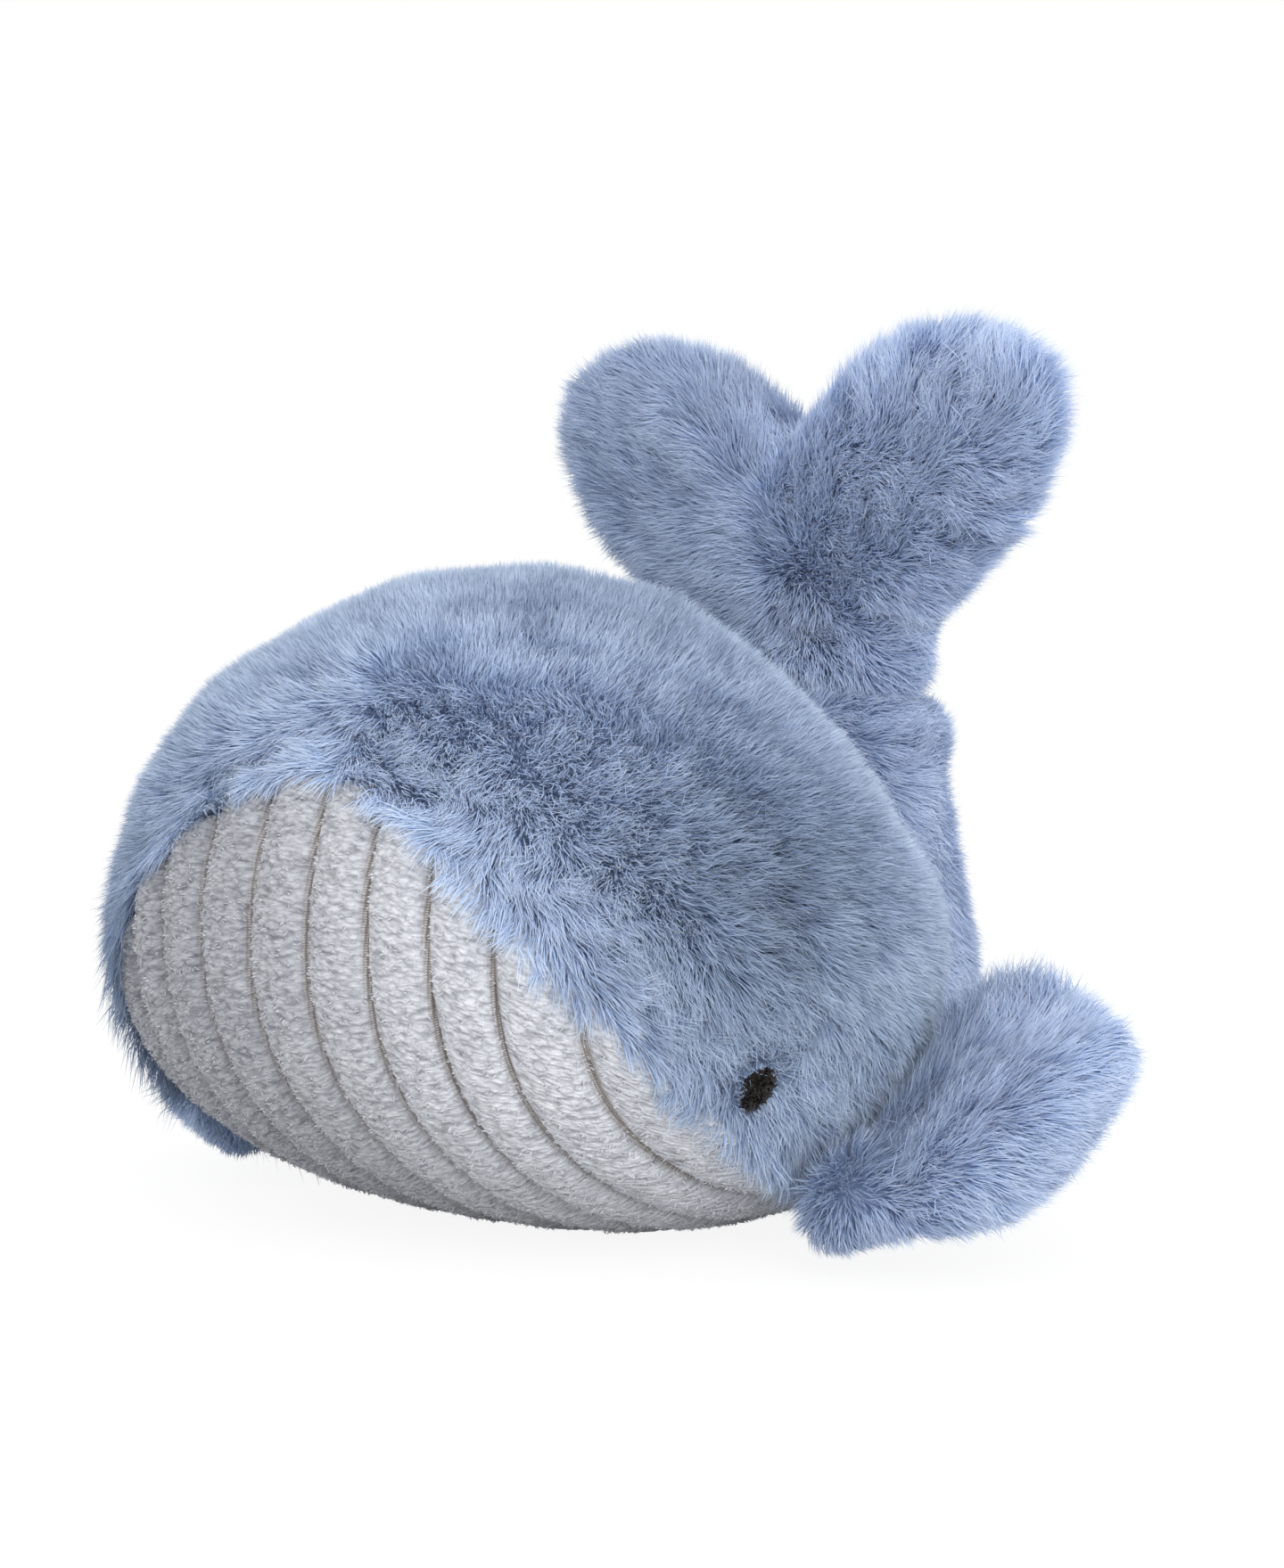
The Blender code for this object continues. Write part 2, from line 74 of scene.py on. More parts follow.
# Pile of the fur.
PILE_WIDTH = 0.00022
PILE_DENSITY = 6.6e6
PILE_LEAN_ROOT = 0.50
PILE_LEAN_TIP = 1.22
TUFT_SPACING = 0.0026
TUFT_GATHER = 0.4
CORD_DENSITY = 0.9e6
FLOOR_GAP = 0.0003
ROOT_LIFT = 0.002
FUR_CLEARANCE = 0.0018
FLIPPER_CLEARANCE = 0.0012

# Jumbo cord.
RIB_PLACES = (0.0, 0.008, 0.0235, 0.038, 0.0515, 0.066, 0.081, 0.096)
RIB_COUNTS = (0.0, 0.5, 1.5, 2.5, 3.5, 4.5, 5.5, 6.5)
CORD_STEP = 0.00055
CORD_ROWS = 640
RIB_CROWN = 0.0012
RIB_WANDER = 0.035
GROOVE_DEPTH = 0.0048
TUCK_DEPTH = 0.0052
TUFT_ACROSS = 0.0026
TUFT_ALONG = 0.0014
TUFT_HEIGHT = 0.0007
CURL_ACROSS = 0.0019
CURL_ALONG = 0.0009
CORD_PILE_WIDTH = 0.00034
CORD_PILE_LENGTH = 0.0016

# The stitches sit a little nearer the mouth than the middle of their patch.
EYE_SHIFT = np.array((-0.0009, -0.0014, 0.0012))
EYE_HALF_LONG = 0.0051
EYE_HALF_SHORT = 0.0035
EYE_DOME = 0.0016
THREAD_RADIUS = 0.00021
ROUGH_THREAD_WIDTH = 0.00034
EYE_HAIR_WIDTH = 0.00016

# Where the pile of the back fans out from.
WHORL = np.array((0.004, -0.088, 0.130))

# Pile of the tail and flukes, the height it fans out from, and the notch between the lobes.
LONG_PILE = 0.0112
FLUKE_MIDDLE = 0.150
FLUKE_NOTCH = 0.165

# Direction out along the left flipper, and where its pile fans out from.
FLIPPER_OUT = np.array((0.788, 0.616, 0.0))
FAN_OUT = 0.0405
FAN_HEIGHT = 0.032


# Camera, lamps and floor

def add_camera():
    """A long lens from the front left of the whale, a little above the table."""
    around, above, distance = math.radians(38.0), math.radians(4.0), 0.75
    level = math.cos(above)
    back = Vector((math.sin(around) * level, -math.cos(around) * level, math.sin(above)))
    target = Vector((0.0, 0.0, 0.095))
    bpy.ops.object.camera_add(location=target + back * distance)
    camera = bpy.context.object
    camera.name = "photo_camera"
    camera.rotation_euler = back.to_track_quat("Z", "Y").to_euler()
    camera.data.sensor_width = SENSOR_WIDTH
    camera.data.lens = FOCAL_LENGTH * SENSOR_WIDTH / FRAME_HEIGHT
    camera.data.shift_x = 27.0 / FRAME_HEIGHT
    camera.data.shift_y = 20.0 / FRAME_HEIGHT
    camera.data.clip_start = 0.01
    bpy.context.scene.camera = camera


def add_softbox(name, place, size, power):
    bpy.ops.object.light_add(type="AREA", location=place)
    lamp = bpy.context.object
    lamp.name = name
    away = Vector(place) - Vector((0.0, 0.0, 0.08))
    lamp.rotation_euler = away.to_track_quat("Z", "Y").to_euler()
    lamp.data.shape = "SQUARE"
    lamp.data.size = size
    lamp.data.energy = power


def new_node(tree, kind, **values):
    """A shader node with the values of its sockets."""
    node = tree.nodes.new("ShaderNode" + kind)
    for socket, value in values.items():
        node.inputs[socket].default_value = value
    return node


def seen_directly(tree):
    """1 for what the camera, a reflection or a see-through surface shows."""
    path = new_node(tree, "LightPath")
    total = path.outputs["Is Camera Ray"]
    for word in ("Is Glossy Ray", "Is Transmission Ray"):
        either = new_node(tree, "Math")
        either.operation = "MAXIMUM"
        tree.links.new(total, either.inputs[0])
        tree.links.new(path.outputs[word], either.inputs[1])
        total = either.outputs[0]
    return total


def show_instead(tree, lighting, shown, output):
    """Lights the whale with the first shader and shows the second."""
    either = new_node(tree, "MixShader")
    out = new_node(tree, output)
    tree.links.new(seen_directly(tree), either.inputs["Fac"])
    tree.links.new(lighting.outputs[0], either.inputs[1])
    tree.links.new(shown.outputs[0], either.inputs[2])
    tree.links.new(either.outputs[0], out.inputs["Surface"])


def add_studio():
    world = bpy.data.worlds.new("white_studio")
    world.use_nodes = True
    bpy.context.scene.world = world
    tree = world.node_tree
    tree.nodes.clear()
    white = (1.0, 1.0, 1.0, 1.0)
    fill = new_node(tree, "Background", Color=white, Strength=FILL_LIGHT)
    backdrop = new_node(tree, "Background", Color=white, Strength=1.0)
    show_instead(tree, fill, backdrop, "OutputWorld")

    bpy.ops.mesh.primitive_plane_add(size=8.0, location=(0.0, 0.0, 0.0))
    floor = bpy.context.object
    floor.name = "white_table"
    paper = bpy.data.materials.new("white_table_paper")
    paper.use_nodes = True
    tree = paper.node_tree
    tree.nodes.clear()
    matt = new_node(tree, "BsdfDiffuse", Color=(0.80, 0.80, 0.80, 1.0))
    glow = new_node(tree, "Emission", Strength=0.90)
    shade = new_node(tree, "BsdfDiffuse", Color=(0.14, 0.14, 0.14, 1.0))
    both = new_node(tree, "AddShader")
    tree.links.new(glow.outputs[0], both.inputs[0])
    tree.links.new(shade.outputs[0], both.inputs[1])
    show_instead(tree, matt, both, "OutputMaterial")
    floor.data.materials.append(paper)

    add_softbox("overhead_softbox", (0.15, -0.25, 1.35), 1.3, 1.5)
    add_softbox("left_softbox", (-1.10, -0.90, 0.70), 1.0, 3.2)
    add_softbox("right_softbox", (1.00, -0.80, 0.60), 0.9, 10.0)


# Finishes

def start_material(
    name, roughness, sheen=0.0, sheen_roughness=0.5, tint=(1.0, 1.0, 1.0), gloss=0.25,
):
    material = bpy.data.materials.new(name)
    material.use_nodes = True
    surface = material.node_tree.nodes["Principled BSDF"]
    for socket, value in (
        ("Roughness", roughness), ("Sheen Weight", sheen), ("Sheen Roughness", sheen_roughness),
        ("Sheen Tint", (*tint, 1.0)), ("Specular IOR Level", gloss),
    ):
        surface.inputs[socket].default_value = value
    return material, material.node_tree, surface


def linear(red, green, blue):
    """An 8-bit screen colour as the linear one that sockets take."""
    shares = (c / 255 for c in (red, green, blue))
    return tuple(c / 12.92 if c <= 0.04045 else ((c + 0.055) / 1.055) ** 2.4 for c in shares)


def noise_at(tree, scale, detail=2.0, vector=None, output="Fac"):
    noise = new_node(tree, "TexNoise", Scale=scale, Detail=detail)
    if vector is None:
        vector = new_node(tree, "TexCoord").outputs["Object"]
    tree.links.new(vector, noise.inputs["Vector"])
    return noise.outputs[output]


def bump_into(tree, surface, height, strength, distance):
    bump = new_node(tree, "Bump", Strength=strength, Distance=distance)
    tree.links.new(height, bump.inputs["Height"])
    tree.links.new(bump.outputs["Normal"], surface.inputs["Normal"])
    return bump


def ramp_of(tree, value, stops):
    ramp = new_node(tree, "ValToRGB")
    marks = ramp.color_ramp.elements
    while len(marks) < len(stops):
        marks.new(0.5)
    for mark, (place, colour) in zip(marks, stops):
        mark.position = place
        mark.color = (*colour, 1.0)
    tree.links.new(value, ramp.inputs["Fac"])
    return ramp.outputs["Color"]


def mix_colours(tree, kind, share, first, second):
    mixer = new_node(tree, "Mix")
    mixer.data_type = "RGBA"
    mixer.blend_type = kind
    for place, value in ((0, share), (6, first), (7, second)):
        if hasattr(value, "links"):
            tree.links.new(value, mixer.inputs[place])
        else:
            mixer.inputs[place].default_value = value
    return mixer.outputs[2]


def strand_values(tree):
    """How far along its strand a place lies, and the strand's tone."""
    pile = new_node(tree, "Attribute")
    pile.attribute_name = "pile"
    parts = new_node(tree, "SeparateColor")
    tree.links.new(pile.outputs["Color"], parts.inputs["Color"])
    return parts.outputs[0], parts.outputs[1]


def pile_material(name, root, middle, tip):
    """Fur pile: dark at the root and pale at the tip, painted shade deep in the pile and painted
    light on the tips, each tuft and patch a little different.
    """
    material, tree, surface = start_material(name, 0.75, 0.30, 0.45, (0.92, 0.96, 1.0), 0.12)
    place, tone = strand_values(tree)
    along = ((0.0, linear(*root)), (0.5, linear(*middle)), (1.0, linear(*tip)))
    along = ramp_of(tree, place, along)
    # The tone carries painted light and shade besides each tuft's own tone; the lowest stop
    # deepens the painted shade in the deepest creases.
    tuft = ramp_of(tree, tone, (
        (0.0, (0.55, 0.59, 0.65)), (0.2, (0.83, 0.86, 0.90)), (1.0, (1.33, 1.31, 1.28)),
    ))
    patch = ((0.30, (0.93, 0.94, 0.96)), (0.70, (1.06, 1.05, 1.04)))
    patch = ramp_of(tree, noise_at(tree, 55.0), patch)
    shaded = mix_colours(tree, "MULTIPLY", 1.0, along, tuft)
    tree.links.new(mix_colours(tree, "MULTIPLY", 1.0, shaded, patch), surface.inputs["Base Color"])
    return material


def backing_material(name, colour):
    """Knitted backing cloth at the root of the pile."""
    material, tree, surface = start_material(name, 0.9, 0.2)
    knit = new_node(tree, "TexVoronoi", Scale=900.0)
    tree.links.new(new_node(tree, "TexCoord").outputs["Object"], knit.inputs["Vector"])
    dark = tuple(c * 0.72 for c in colour)
    shades = ramp_of(tree, noise_at(tree, 260.0, 3.0), ((0.25, dark), (0.75, colour)))
    tree.links.new(shades, surface.inputs["Base Color"])
    bump_into(tree, surface, knit.outputs["Distance"], 0.4, 0.0004)
    return material


def cord_material():
    """Pale jumbo cord: brushed pile on the ribs, warm woven ground in the grooves, painted shade
    in the creases between the curls.
    """
    material, tree, surface = start_material("pale_jumbo_cord", 0.85, 0.3, 0.5)
    crown, tone = strand_values(tree)
    map_of_cloth = new_node(tree, "UVMap")
    map_of_cloth.uv_map = "cloth_metres"
    weave = []
    for direction in ("X", "Y"):
        threads = new_node(tree, "TexWave", Scale=560.0, Distortion=0.6, Detail=1.0)
        threads.wave_type = "BANDS"
        threads.bands_direction = direction
        tree.links.new(map_of_cloth.outputs["UV"], threads.inputs["Vector"])
        weave.append(threads.outputs["Fac"])
    crossing = new_node(tree, "Math")
    crossing.operation = "MULTIPLY"
    tree.links.new(weave[0], crossing.inputs[0])
    tree.links.new(weave[1], crossing.inputs[1])
    woven = ((0.05, linear(136, 129, 125)), (0.6, linear(206, 200, 196)))
    ground = ramp_of(tree, crossing.outputs[0], woven)
    stretch = new_node(tree, "Mapping", Scale=(1 / CURL_ACROSS, 1 / CURL_ALONG, 1.0))
    tree.links.new(map_of_cloth.outputs["UV"], stretch.inputs["Vector"])
    curls = new_node(tree, "TexVoronoi", Scale=1.0)
    curls.feature = "SMOOTH_F1"
    curls.inputs["Smoothness"].default_value = 0.25
    push = noise_at(tree, 420.0, 1.0, map_of_cloth.outputs["UV"], "Color")
    push = mix_colours(tree, "MULTIPLY", 1.0, push, (1.2, 1.6, 0.0, 1.0))
    pushed = mix_colours(tree, "ADD", 1.0, stretch.outputs["Vector"], push)
    tree.links.new(pushed, curls.inputs["Vector"])
    # Painted shade in the creases between the curls.
    painted_crease_shade = ramp_of(tree, curls.outputs["Distance"], (
        (0.22, (1.0, 1.0, 1.0)), (0.55, (0.82, 0.82, 0.83)), (0.82, (0.54, 0.54, 0.56)),
    ))
    # The tone carries painted light, lighter on the whale's left, and painted shade at each tuft's
    # edge.
    tufts = ramp_of(tree, tone, ((0.0, linear(158, 160, 167)), (1.0, linear(238, 240, 245))))
    rib = ramp_of(tree, crown, ((0.30, (0.0, 0.0, 0.0)), (0.60, (1.0, 1.0, 1.0))))
    worn = ((0.30, (0.94, 0.94, 0.95)), (0.70, (1.0, 1.0, 1.0)))
    worn = ramp_of(tree, noise_at(tree, 70.0, 3.0), worn)
    curly = mix_colours(tree, "MULTIPLY", 1.0, tufts, painted_crease_shade)
    cloth = mix_colours(tree, "MIX", rib, ground, curly)
    tree.links.new(mix_colours(tree, "MULTIPLY", 1.0, cloth, worn), surface.inputs["Base Color"])
    bump_into(tree, surface, curls.outputs["Distance"], 0.9, 0.0008).invert = True
    return material


def cord_pile_material():
    material, tree, surface = start_material("pale_cord_pile", 0.8, 0.3, 0.5)
    place, tone = strand_values(tree)
    along = ramp_of(tree, place, ((0.0, linear(186, 188, 195)), (1.0, linear(220, 222, 228))))
    # The tone carries the cord's painted light, lighter on the whale's left.
    tuft = ramp_of(tree, tone, ((0.0, (0.66, 0.66, 0.67)), (1.0, (1.04, 1.04, 1.04))))
    tree.links.new(mix_colours(tree, "MULTIPLY", 1.0, along, tuft), surface.inputs["Base Color"])
    return material


def thread_material():
    """Dark satin thread of the eyes."""
    material, tree, surface = start_material("dark_satin_thread", 0.42, gloss=0.35)
    shades = ((0.30, linear(16, 13, 13)), (0.75, linear(44, 37, 35)))
    shades = ramp_of(tree, noise_at(tree, 900.0), shades)
    tree.links.new(shades, surface.inputs["Base Color"])
    return material


# Sewing shapes

def seam_angle(azimuth):
    share = ((1.0 + np.cos(azimuth)) / 2) ** SEAM_SWEEP_POWER
    return SEAM_REAR_ANGLE + (SEAM_NOSE_ANGLE - SEAM_REAR_ANGLE) * share


def egg_place(points):
    """Each point's place in the egg before its belly trails back: across, along, up and rise."""
    up = points[:, 2] - WAIST_HEIGHT
    rise = np.where(up > 0, BODY_HEIGHT - WAIST_HEIGHT, WAIST_HEIGHT + BELLY_SQUASH)
    along = points[:, 1] - BELLY_TRAIL * np.minimum(up / rise, 0.0) ** 2 - BODY_SHIFT
    return points[:, 0], along, up, rise


def egg_size(points):
    """Under 1 inside the egg, over 1 outside."""
    across, along, up, rise = egg_place(points)
    reach = np.where(along < 0, NOSE_REACH, REAR_REACH)
    roundness = np.where(up > 0, TOP_ROUNDNESS, BELLY_ROUNDNESS)
    corner = np.where(along < 0, FRONT_ROUNDNESS, REAR_ROUNDNESS)
    plan = (np.abs(across) / (BODY_WIDTH / 2)) ** corner + (np.abs(along) / reach) ** corner
    return plan ** (roundness / corner) + (np.abs(up) / rise) ** roundness


def above_seam(points):
    """How far each point lies above the seam of back and belly, in metres."""
    across, along, up, _ = egg_place(points)
    flat = np.hypot(across, along)
    seam = seam_angle(np.arctan2(np.abs(across), -along))
    return (np.arctan2(up, flat) - seam) * np.hypot(flat, up)


def fur_line(points):
    """How far each point lies above the edge of the fur, sewn a little higher on the left."""
    far = step_down(points[:, 0], -0.045, 0.03)
    return above_seam(points) - 0.0012 - 0.0034 * np.tanh(points[:, 0] / 0.03) + 0.0030 * far


def along_mouth(points, reach):
    """1 along the edge of the fur, fading into it."""
    return np.exp(-np.maximum(fur_line(points), 0) / reach)


def unit(vectors):
    return vectors / np.maximum(np.linalg.norm(vectors, axis=-1, keepdims=True), 1e-12)


def step_up(values, start, span):
    """0 below the start, 1 a span above it."""
    return np.clip((values - start) / span, 0, 1)


def step_down(values, start, span):
    """0 above the start, 1 a span below it."""
    return np.clip((start - values) / span, 0, 1)


def spot_at(points, place, reach, power=2):
    """1 at the place, fading to 0 a little past the reach."""
    return np.exp(-((np.linalg.norm(points - np.array(place), axis=1) / reach) ** power))


def band_at(values, place, reach, power=2):
    """1 at the place along one direction, fading to 0 a little past the reach."""
    return np.exp(-(((values - place) / reach) ** power))


def ripple(points, size, seed):
    """Soft random waves, from about -1 to 1, each some size across."""
    rng = np.random.default_rng(seed)
    total = np.zeros(len(points))
    for _ in range(6):
        wave = unit(rng.normal(size=3)) * (2 * math.pi / size) * rng.uniform(0.6, 1.5)
        total += np.sin(points @ wave + rng.uniform(0, 2 * math.pi))
    return total / 2.4


# Stuffed skins

def fresh_copy(piece):
    """A copy with its own mesh and none of the marks."""
    copy = piece.copy()
    copy.data = piece.data.copy()
    for word in list(copy.keys()):
        del copy[word]
    bpy.context.scene.collection.objects.link(copy)
    return copy


def copies_of(nodes, name):
    """One merged copy of the panels and filling of one stuffed piece."""
    bpy.ops.object.select_all(action="DESELECT")
    copies = []
    for node in nodes:
        copy = fresh_copy(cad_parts[node])
        copy.parent = None
        copy.select_set(True)
        copies.append(copy)
    bpy.context.view_layer.objects.active = copies[0]
    bpy.ops.object.join()
    skin = bpy.context.object
    skin.name = name
    skin.data.materials.clear()
    edit_all(bpy.ops.mesh.remove_doubles, threshold=0.00001)
    return skin


def edit_all(operator, **options):
    """Runs one edit operator on all of the active mesh."""
    bpy.ops.object.mode_set(mode="EDIT")
    bpy.ops.mesh.select_all(action="SELECT")
    operator(**options)
    bpy.ops.object.mode_set(mode="OBJECT")


def place_points(mesh, placed):
    mesh.vertices.foreach_set("co", placed.ravel())
    mesh.update()


def points_of(mesh):
    found = np.empty(len(mesh.vertices) * 3)
    mesh.vertices.foreach_get("co", found)
    return found.reshape(-1, 3)


def stuff(skin):
    """Blows the skin up like a filled bag, by the cap at most."""
    cloth = skin.modifiers.new("stuffing", "CLOTH").settings
    cloth.use_pressure = True
    cloth.uniform_pressure_force = 4.0
    cloth.quality = 4
    cloth.mass = 0.3
    cloth.effector_weights.gravity = 0.0
    scene = bpy.context.scene
    for step in range(1, 21):
        scene.frame_set(step)
    before = points_of(skin.data)
    after = points_of(skin.evaluated_get(bpy.context.evaluated_depsgraph_get()).data)
    moved = after - before
    length = np.linalg.norm(moved, axis=1, keepdims=True)
    capped = before + moved * np.minimum(1.0, SKIN_SWELL / np.maximum(length, 1e-9))
    skin.modifiers.clear()
    place_points(skin.data, capped)
    scene.frame_set(1)


def everywhere(points):
    return np.ones(len(points))


def away_from_neck(points):
    """The skin lies deep under the pile, but less so at the narrow neck below the flukes."""
    return 1 - 0.78 * band_at(points[:, 2], 0.118, 0.013, 4)


def away_from_root_front(points):
    """Less deep at the front end of a flipper's root, deeper at its lower edge and its tip."""
    from_root = (points - np.array((0.086, -0.037, 0.015))) / np.array((0.014, 0.014, 0.012))
    front = np.exp(-(np.linalg.norm(from_root, axis=1) ** 4))
    tip = step_up(points[:, 2], 0.046, 0.012) * step_up(points[:, 0], 0.102, 0.012)
    return 1 - 0.88 * front + 0.30 * step_down(points[:, 2], 0.012, 0.01) + 0.60 * tip


def sew_skin(name, nodes, material, deep_of=everywhere):
    """One stuffed skin over the panels and filling of a piece, sunk to the root of its pile."""
    skin = copies_of(nodes, name)
    skin.data.remesh_voxel_size = SKIN_VOXEL
    bpy.ops.object.voxel_remesh()
    edit_all(bpy.ops.mesh.vertices_smooth, factor=0.5, repeat=4)
    placed, normals, _ = triangles_of(skin)
    place_points(skin.data, placed - normals * (SKIN_INSET * deep_of(placed))[:, None])
    stuff(skin)
    finer = skin.modifiers.new("finer", "SUBSURF")
    finer.levels = finer.render_levels = 1
    bpy.ops.object.modifier_apply(modifier="finer")
    placed = points_of(skin.data)
    placed[:, 2] = np.maximum(placed[:, 2], FLOOR_GAP * 2)
    place_points(skin.data, placed)
    bpy.ops.object.shade_smooth()
    skin.data.materials.append(material)
    return skin


def mirrored(piece, name):
    """The same piece for the other side, with its own mesh."""
    copy = fresh_copy(piece)
    copy.name = name
    placed = points_of(copy.data)
    placed[:, 0] *= -1.0
    copy.data.flip_normals()
    place_points(copy.data, placed)
    return copy


# Pile strands

def triangles_of(skin):
    mesh = skin.data
    mesh.calc_loop_triangles()
    corners = np.empty(len(mesh.loop_triangles) * 3, np.int32)
    mesh.loop_triangles.foreach_get("vertices", corners)
    normals = np.empty(len(mesh.vertices) * 3)
    mesh.vertex_normals.foreach_get("vector", normals)
    return points_of(mesh), normals.reshape(-1, 3), corners.reshape(-1, 3)


def roots_on(skin, density, rng):
    """Evenly scattered roots on a skin, as places and outward directions."""
    points, normals, corners = triangles_of(skin)
    a, b, c = (points[corners[:, k]] for k in range(3))
    area = np.linalg.norm(np.cross(b - a, c - a), axis=1) / 2
    total = np.cumsum(area)
    count = int(total[-1] * density)
    spots = (np.arange(count) + rng.random(count)) / count * total[-1]
    face = np.minimum(np.searchsorted(total, spots), len(area) - 1)
    u, v = rng.random(count), rng.random(count)
    over = u + v > 1
    u[over], v[over] = 1 - u[over], 1 - v[over]
    share = np.stack([1 - u - v, u, v], 1)[:, :, None]
    return (points[corners[face]] * share).sum(1), unit((normals[corners[face]] * share).sum(1))


def clear_of(points, others, reach):
    """True where no other stuffed piece lies within reach."""
    free = np.ones(len(points), bool)
    for other in others:
        around = points_of(other.data)
        near = ((points > around.min(0) - reach) & (points < around.max(0) + reach)).all(1)
        faces = [tuple(f.vertices) for f in other.data.polygons]
        tree = BVHTree.FromPolygons([tuple(p) for p in around], faces)
        for index in np.where(near & free)[0]:
            place = Vector(points[index])
            spot, normal, _, _ = tree.find_nearest(place)
            if (place - spot).length < reach or (place - spot).dot(normal) < 0:
                free[index] = False
    return free


def strand_paths(roots, normals, flows, lengths, lean_root, lean_tip):
    """Root, bend and tip of each strand. The leans are angles, one for all or one for each."""
    flows = laid_on(flows, normals)
    places = [roots]
    for share, part in ((0.18, 0.55), (0.85, 0.45)):
        lean = np.reshape(lean_root + (lean_tip - lean_root) * share, (-1, 1))
        heading = normals * np.cos(lean) + flows * np.sin(lean)
        places.append(places[-1] + heading * (lengths * part)[:, None])
    return np.stack(places, 1)


def comb(
    roots, normals, flow_of, length_of, upright, shade,
    lean_root, lean_tip, tuft_spacing, gather, density, rng,
):
    """Strands that follow the flow and gather into tufts: paths, normals and a tone for each."""
    count = len(roots)
    flow, length = flow_of(roots, normals), length_of(roots)
    lean_root, lean_tip = lean_root * (1 - 0.85 * upright), lean_tip * (1 - 0.75 * upright)
    flow = unit(flow + rng.normal(size=flow.shape) * (0.28 + 0.35 * upright[:, None]))
    paths = strand_paths(
        roots, normals, flow, length * rng.uniform(0.78, 1.16, count),
        lean_root + rng.normal(size=count) * 0.16, lean_tip + rng.normal(size=count) * 0.26,
    )
    tuft_count = max(8, int(count / (density * tuft_spacing ** 2)))
    picked = rng.choice(count, tuft_count, replace=False)
    tree = kdtree.KDTree(tuft_count)
    for index, root in enumerate(roots[picked]):
        tree.insert(root, index)
    tree.balance()
    tuft = np.fromiter((tree.find(root)[1] for root in roots), np.int64, count)
    lead_flow = flow_of(roots[picked], normals[picked])
    lead_flow = unit(lead_flow + rng.normal(size=(tuft_count, 3)) * 0.26)
    lead_paths = strand_paths(
        roots[picked], normals[picked], lead_flow,
        length[picked] * rng.uniform(0.9, 1.08, tuft_count),
        lean_root[picked] + rng.normal(size=tuft_count) * 0.12,
        lean_tip[picked] + rng.normal(size=tuft_count) * 0.16,
    )
    pull = gather * rng.uniform(0.2, 1.2, count) * (1 - 0.70 * upright)
    pull = pull[:, None, None] * np.array((0.0, 0.45, 1.0))[None, :, None]
    paths = paths + (lead_paths[tuft] - paths) * pull
    # The tone adds the painted light and shade given in shade to a random tone for each tuft and
    # strand.
    tone = 0.5 + shade + 0.09 * rng.normal(size=tuft_count)[tuft] + 0.07 * rng.normal(size=count)
    return paths, normals, np.clip(tone, 0, 1)


def new_piece(name, points, corners, sides, shade, material):
    """A smooth mesh of faces with so many sides each, and the shade in its attribute pile."""
    mesh = bpy.data.meshes.new(name)
    mesh.vertices.add(len(points))
    mesh.vertices.foreach_set("co", points.ravel())
    mesh.loops.add(len(corners))
    mesh.loops.foreach_set("vertex_index", corners.astype(np.int32))
    mesh.polygons.add(len(corners) // sides)
    mesh.polygons.foreach_set("loop_start", np.arange(0, len(corners), sides, dtype=np.int32))
    mesh.update(calc_edges=True)
    mesh.polygons.foreach_set("use_smooth", np.ones(len(corners) // sides, bool))
    mesh.attributes.new("pile", "FLOAT_COLOR", "POINT").data.foreach_set("color", shade.ravel())
    mesh.materials.append(material)
    piece = bpy.data.objects.new(name, mesh)
    bpy.context.scene.collection.objects.link(piece)
    return piece


def pile_mesh(name, paths, normals, tone, width, material, rng):
    """Thin tapered blades along the paths, shaded by the place along the strand and its tone."""
    count = len(paths)
    paths = paths.copy()
    paths[:, :, 2] = np.maximum(paths[:, :, 2], FLOOR_GAP)
    turn = rng.normal(size=count) * 0.75
    heading = unit(paths[:, 2] - paths[:, 0])
    side = unit(np.cross(heading, normals))
    other = np.cross(heading, side)
    side = side * np.cos(turn)[:, None] + other * np.sin(turn)[:, None]
    reach = side * (width / 2 * rng.uniform(0.8, 1.25, count))[:, None]
    points = np.stack([paths[:, 0], paths[:, 1] - reach, paths[:, 1] + reach, paths[:, 2]], 1)
    points[:, :, 2] = np.maximum(points[:, :, 2], FLOOR_GAP)
    corners = (np.array((0, 2, 1, 1, 2, 3))[None, :] + 4 * np.arange(count)[:, None]).ravel()
    shade = np.zeros((count, 4, 4), np.float32)
    shade[:, :, 0] = np.array((0.0, 0.5, 0.5, 1.0))[None, :]
    shade[:, :, 1] = tone[:, None]
    shade[:, :, 3] = 1.0
    return new_piece(name, points.reshape(-1, 3), corners, 3, shade, material)


def laid_on(flow, normals):
    """The flow turned into the surface."""
    return unit(flow - (flow * normals).sum(1, keepdims=True) * normals)


def wavy(flow, points, normals, *waves):
    """The flow turned about the normals in soft waves, each a turn, a size and a seed."""
    angle = sum(turn * ripple(points, size, seed) for turn, size, seed in waves)
    return flow * np.cos(angle)[:, None] + np.cross(normals, flow) * np.sin(angle)[:, None]


def eye_place(node):
    """Middle, long side, short side and outward direction of a stitched eye."""
    low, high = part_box(node)
    points = points_of(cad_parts[node].data)
    middle = (np.array(low) + np.array(high)) / 2
    axes = np.linalg.svd(points - points.mean(0), full_matrices=False)[2]
    out = axes[2] * (1 if axes[2][0] * middle[0] > 0 else -1)
    long_side = axes[0] * (1 if axes[0][2] > 0 else -1)
    middle = middle + EYE_SHIFT * np.array((out[0] / abs(out[0]), 1.0, 1.0))
    return middle, long_side, np.cross(out, long_side), out


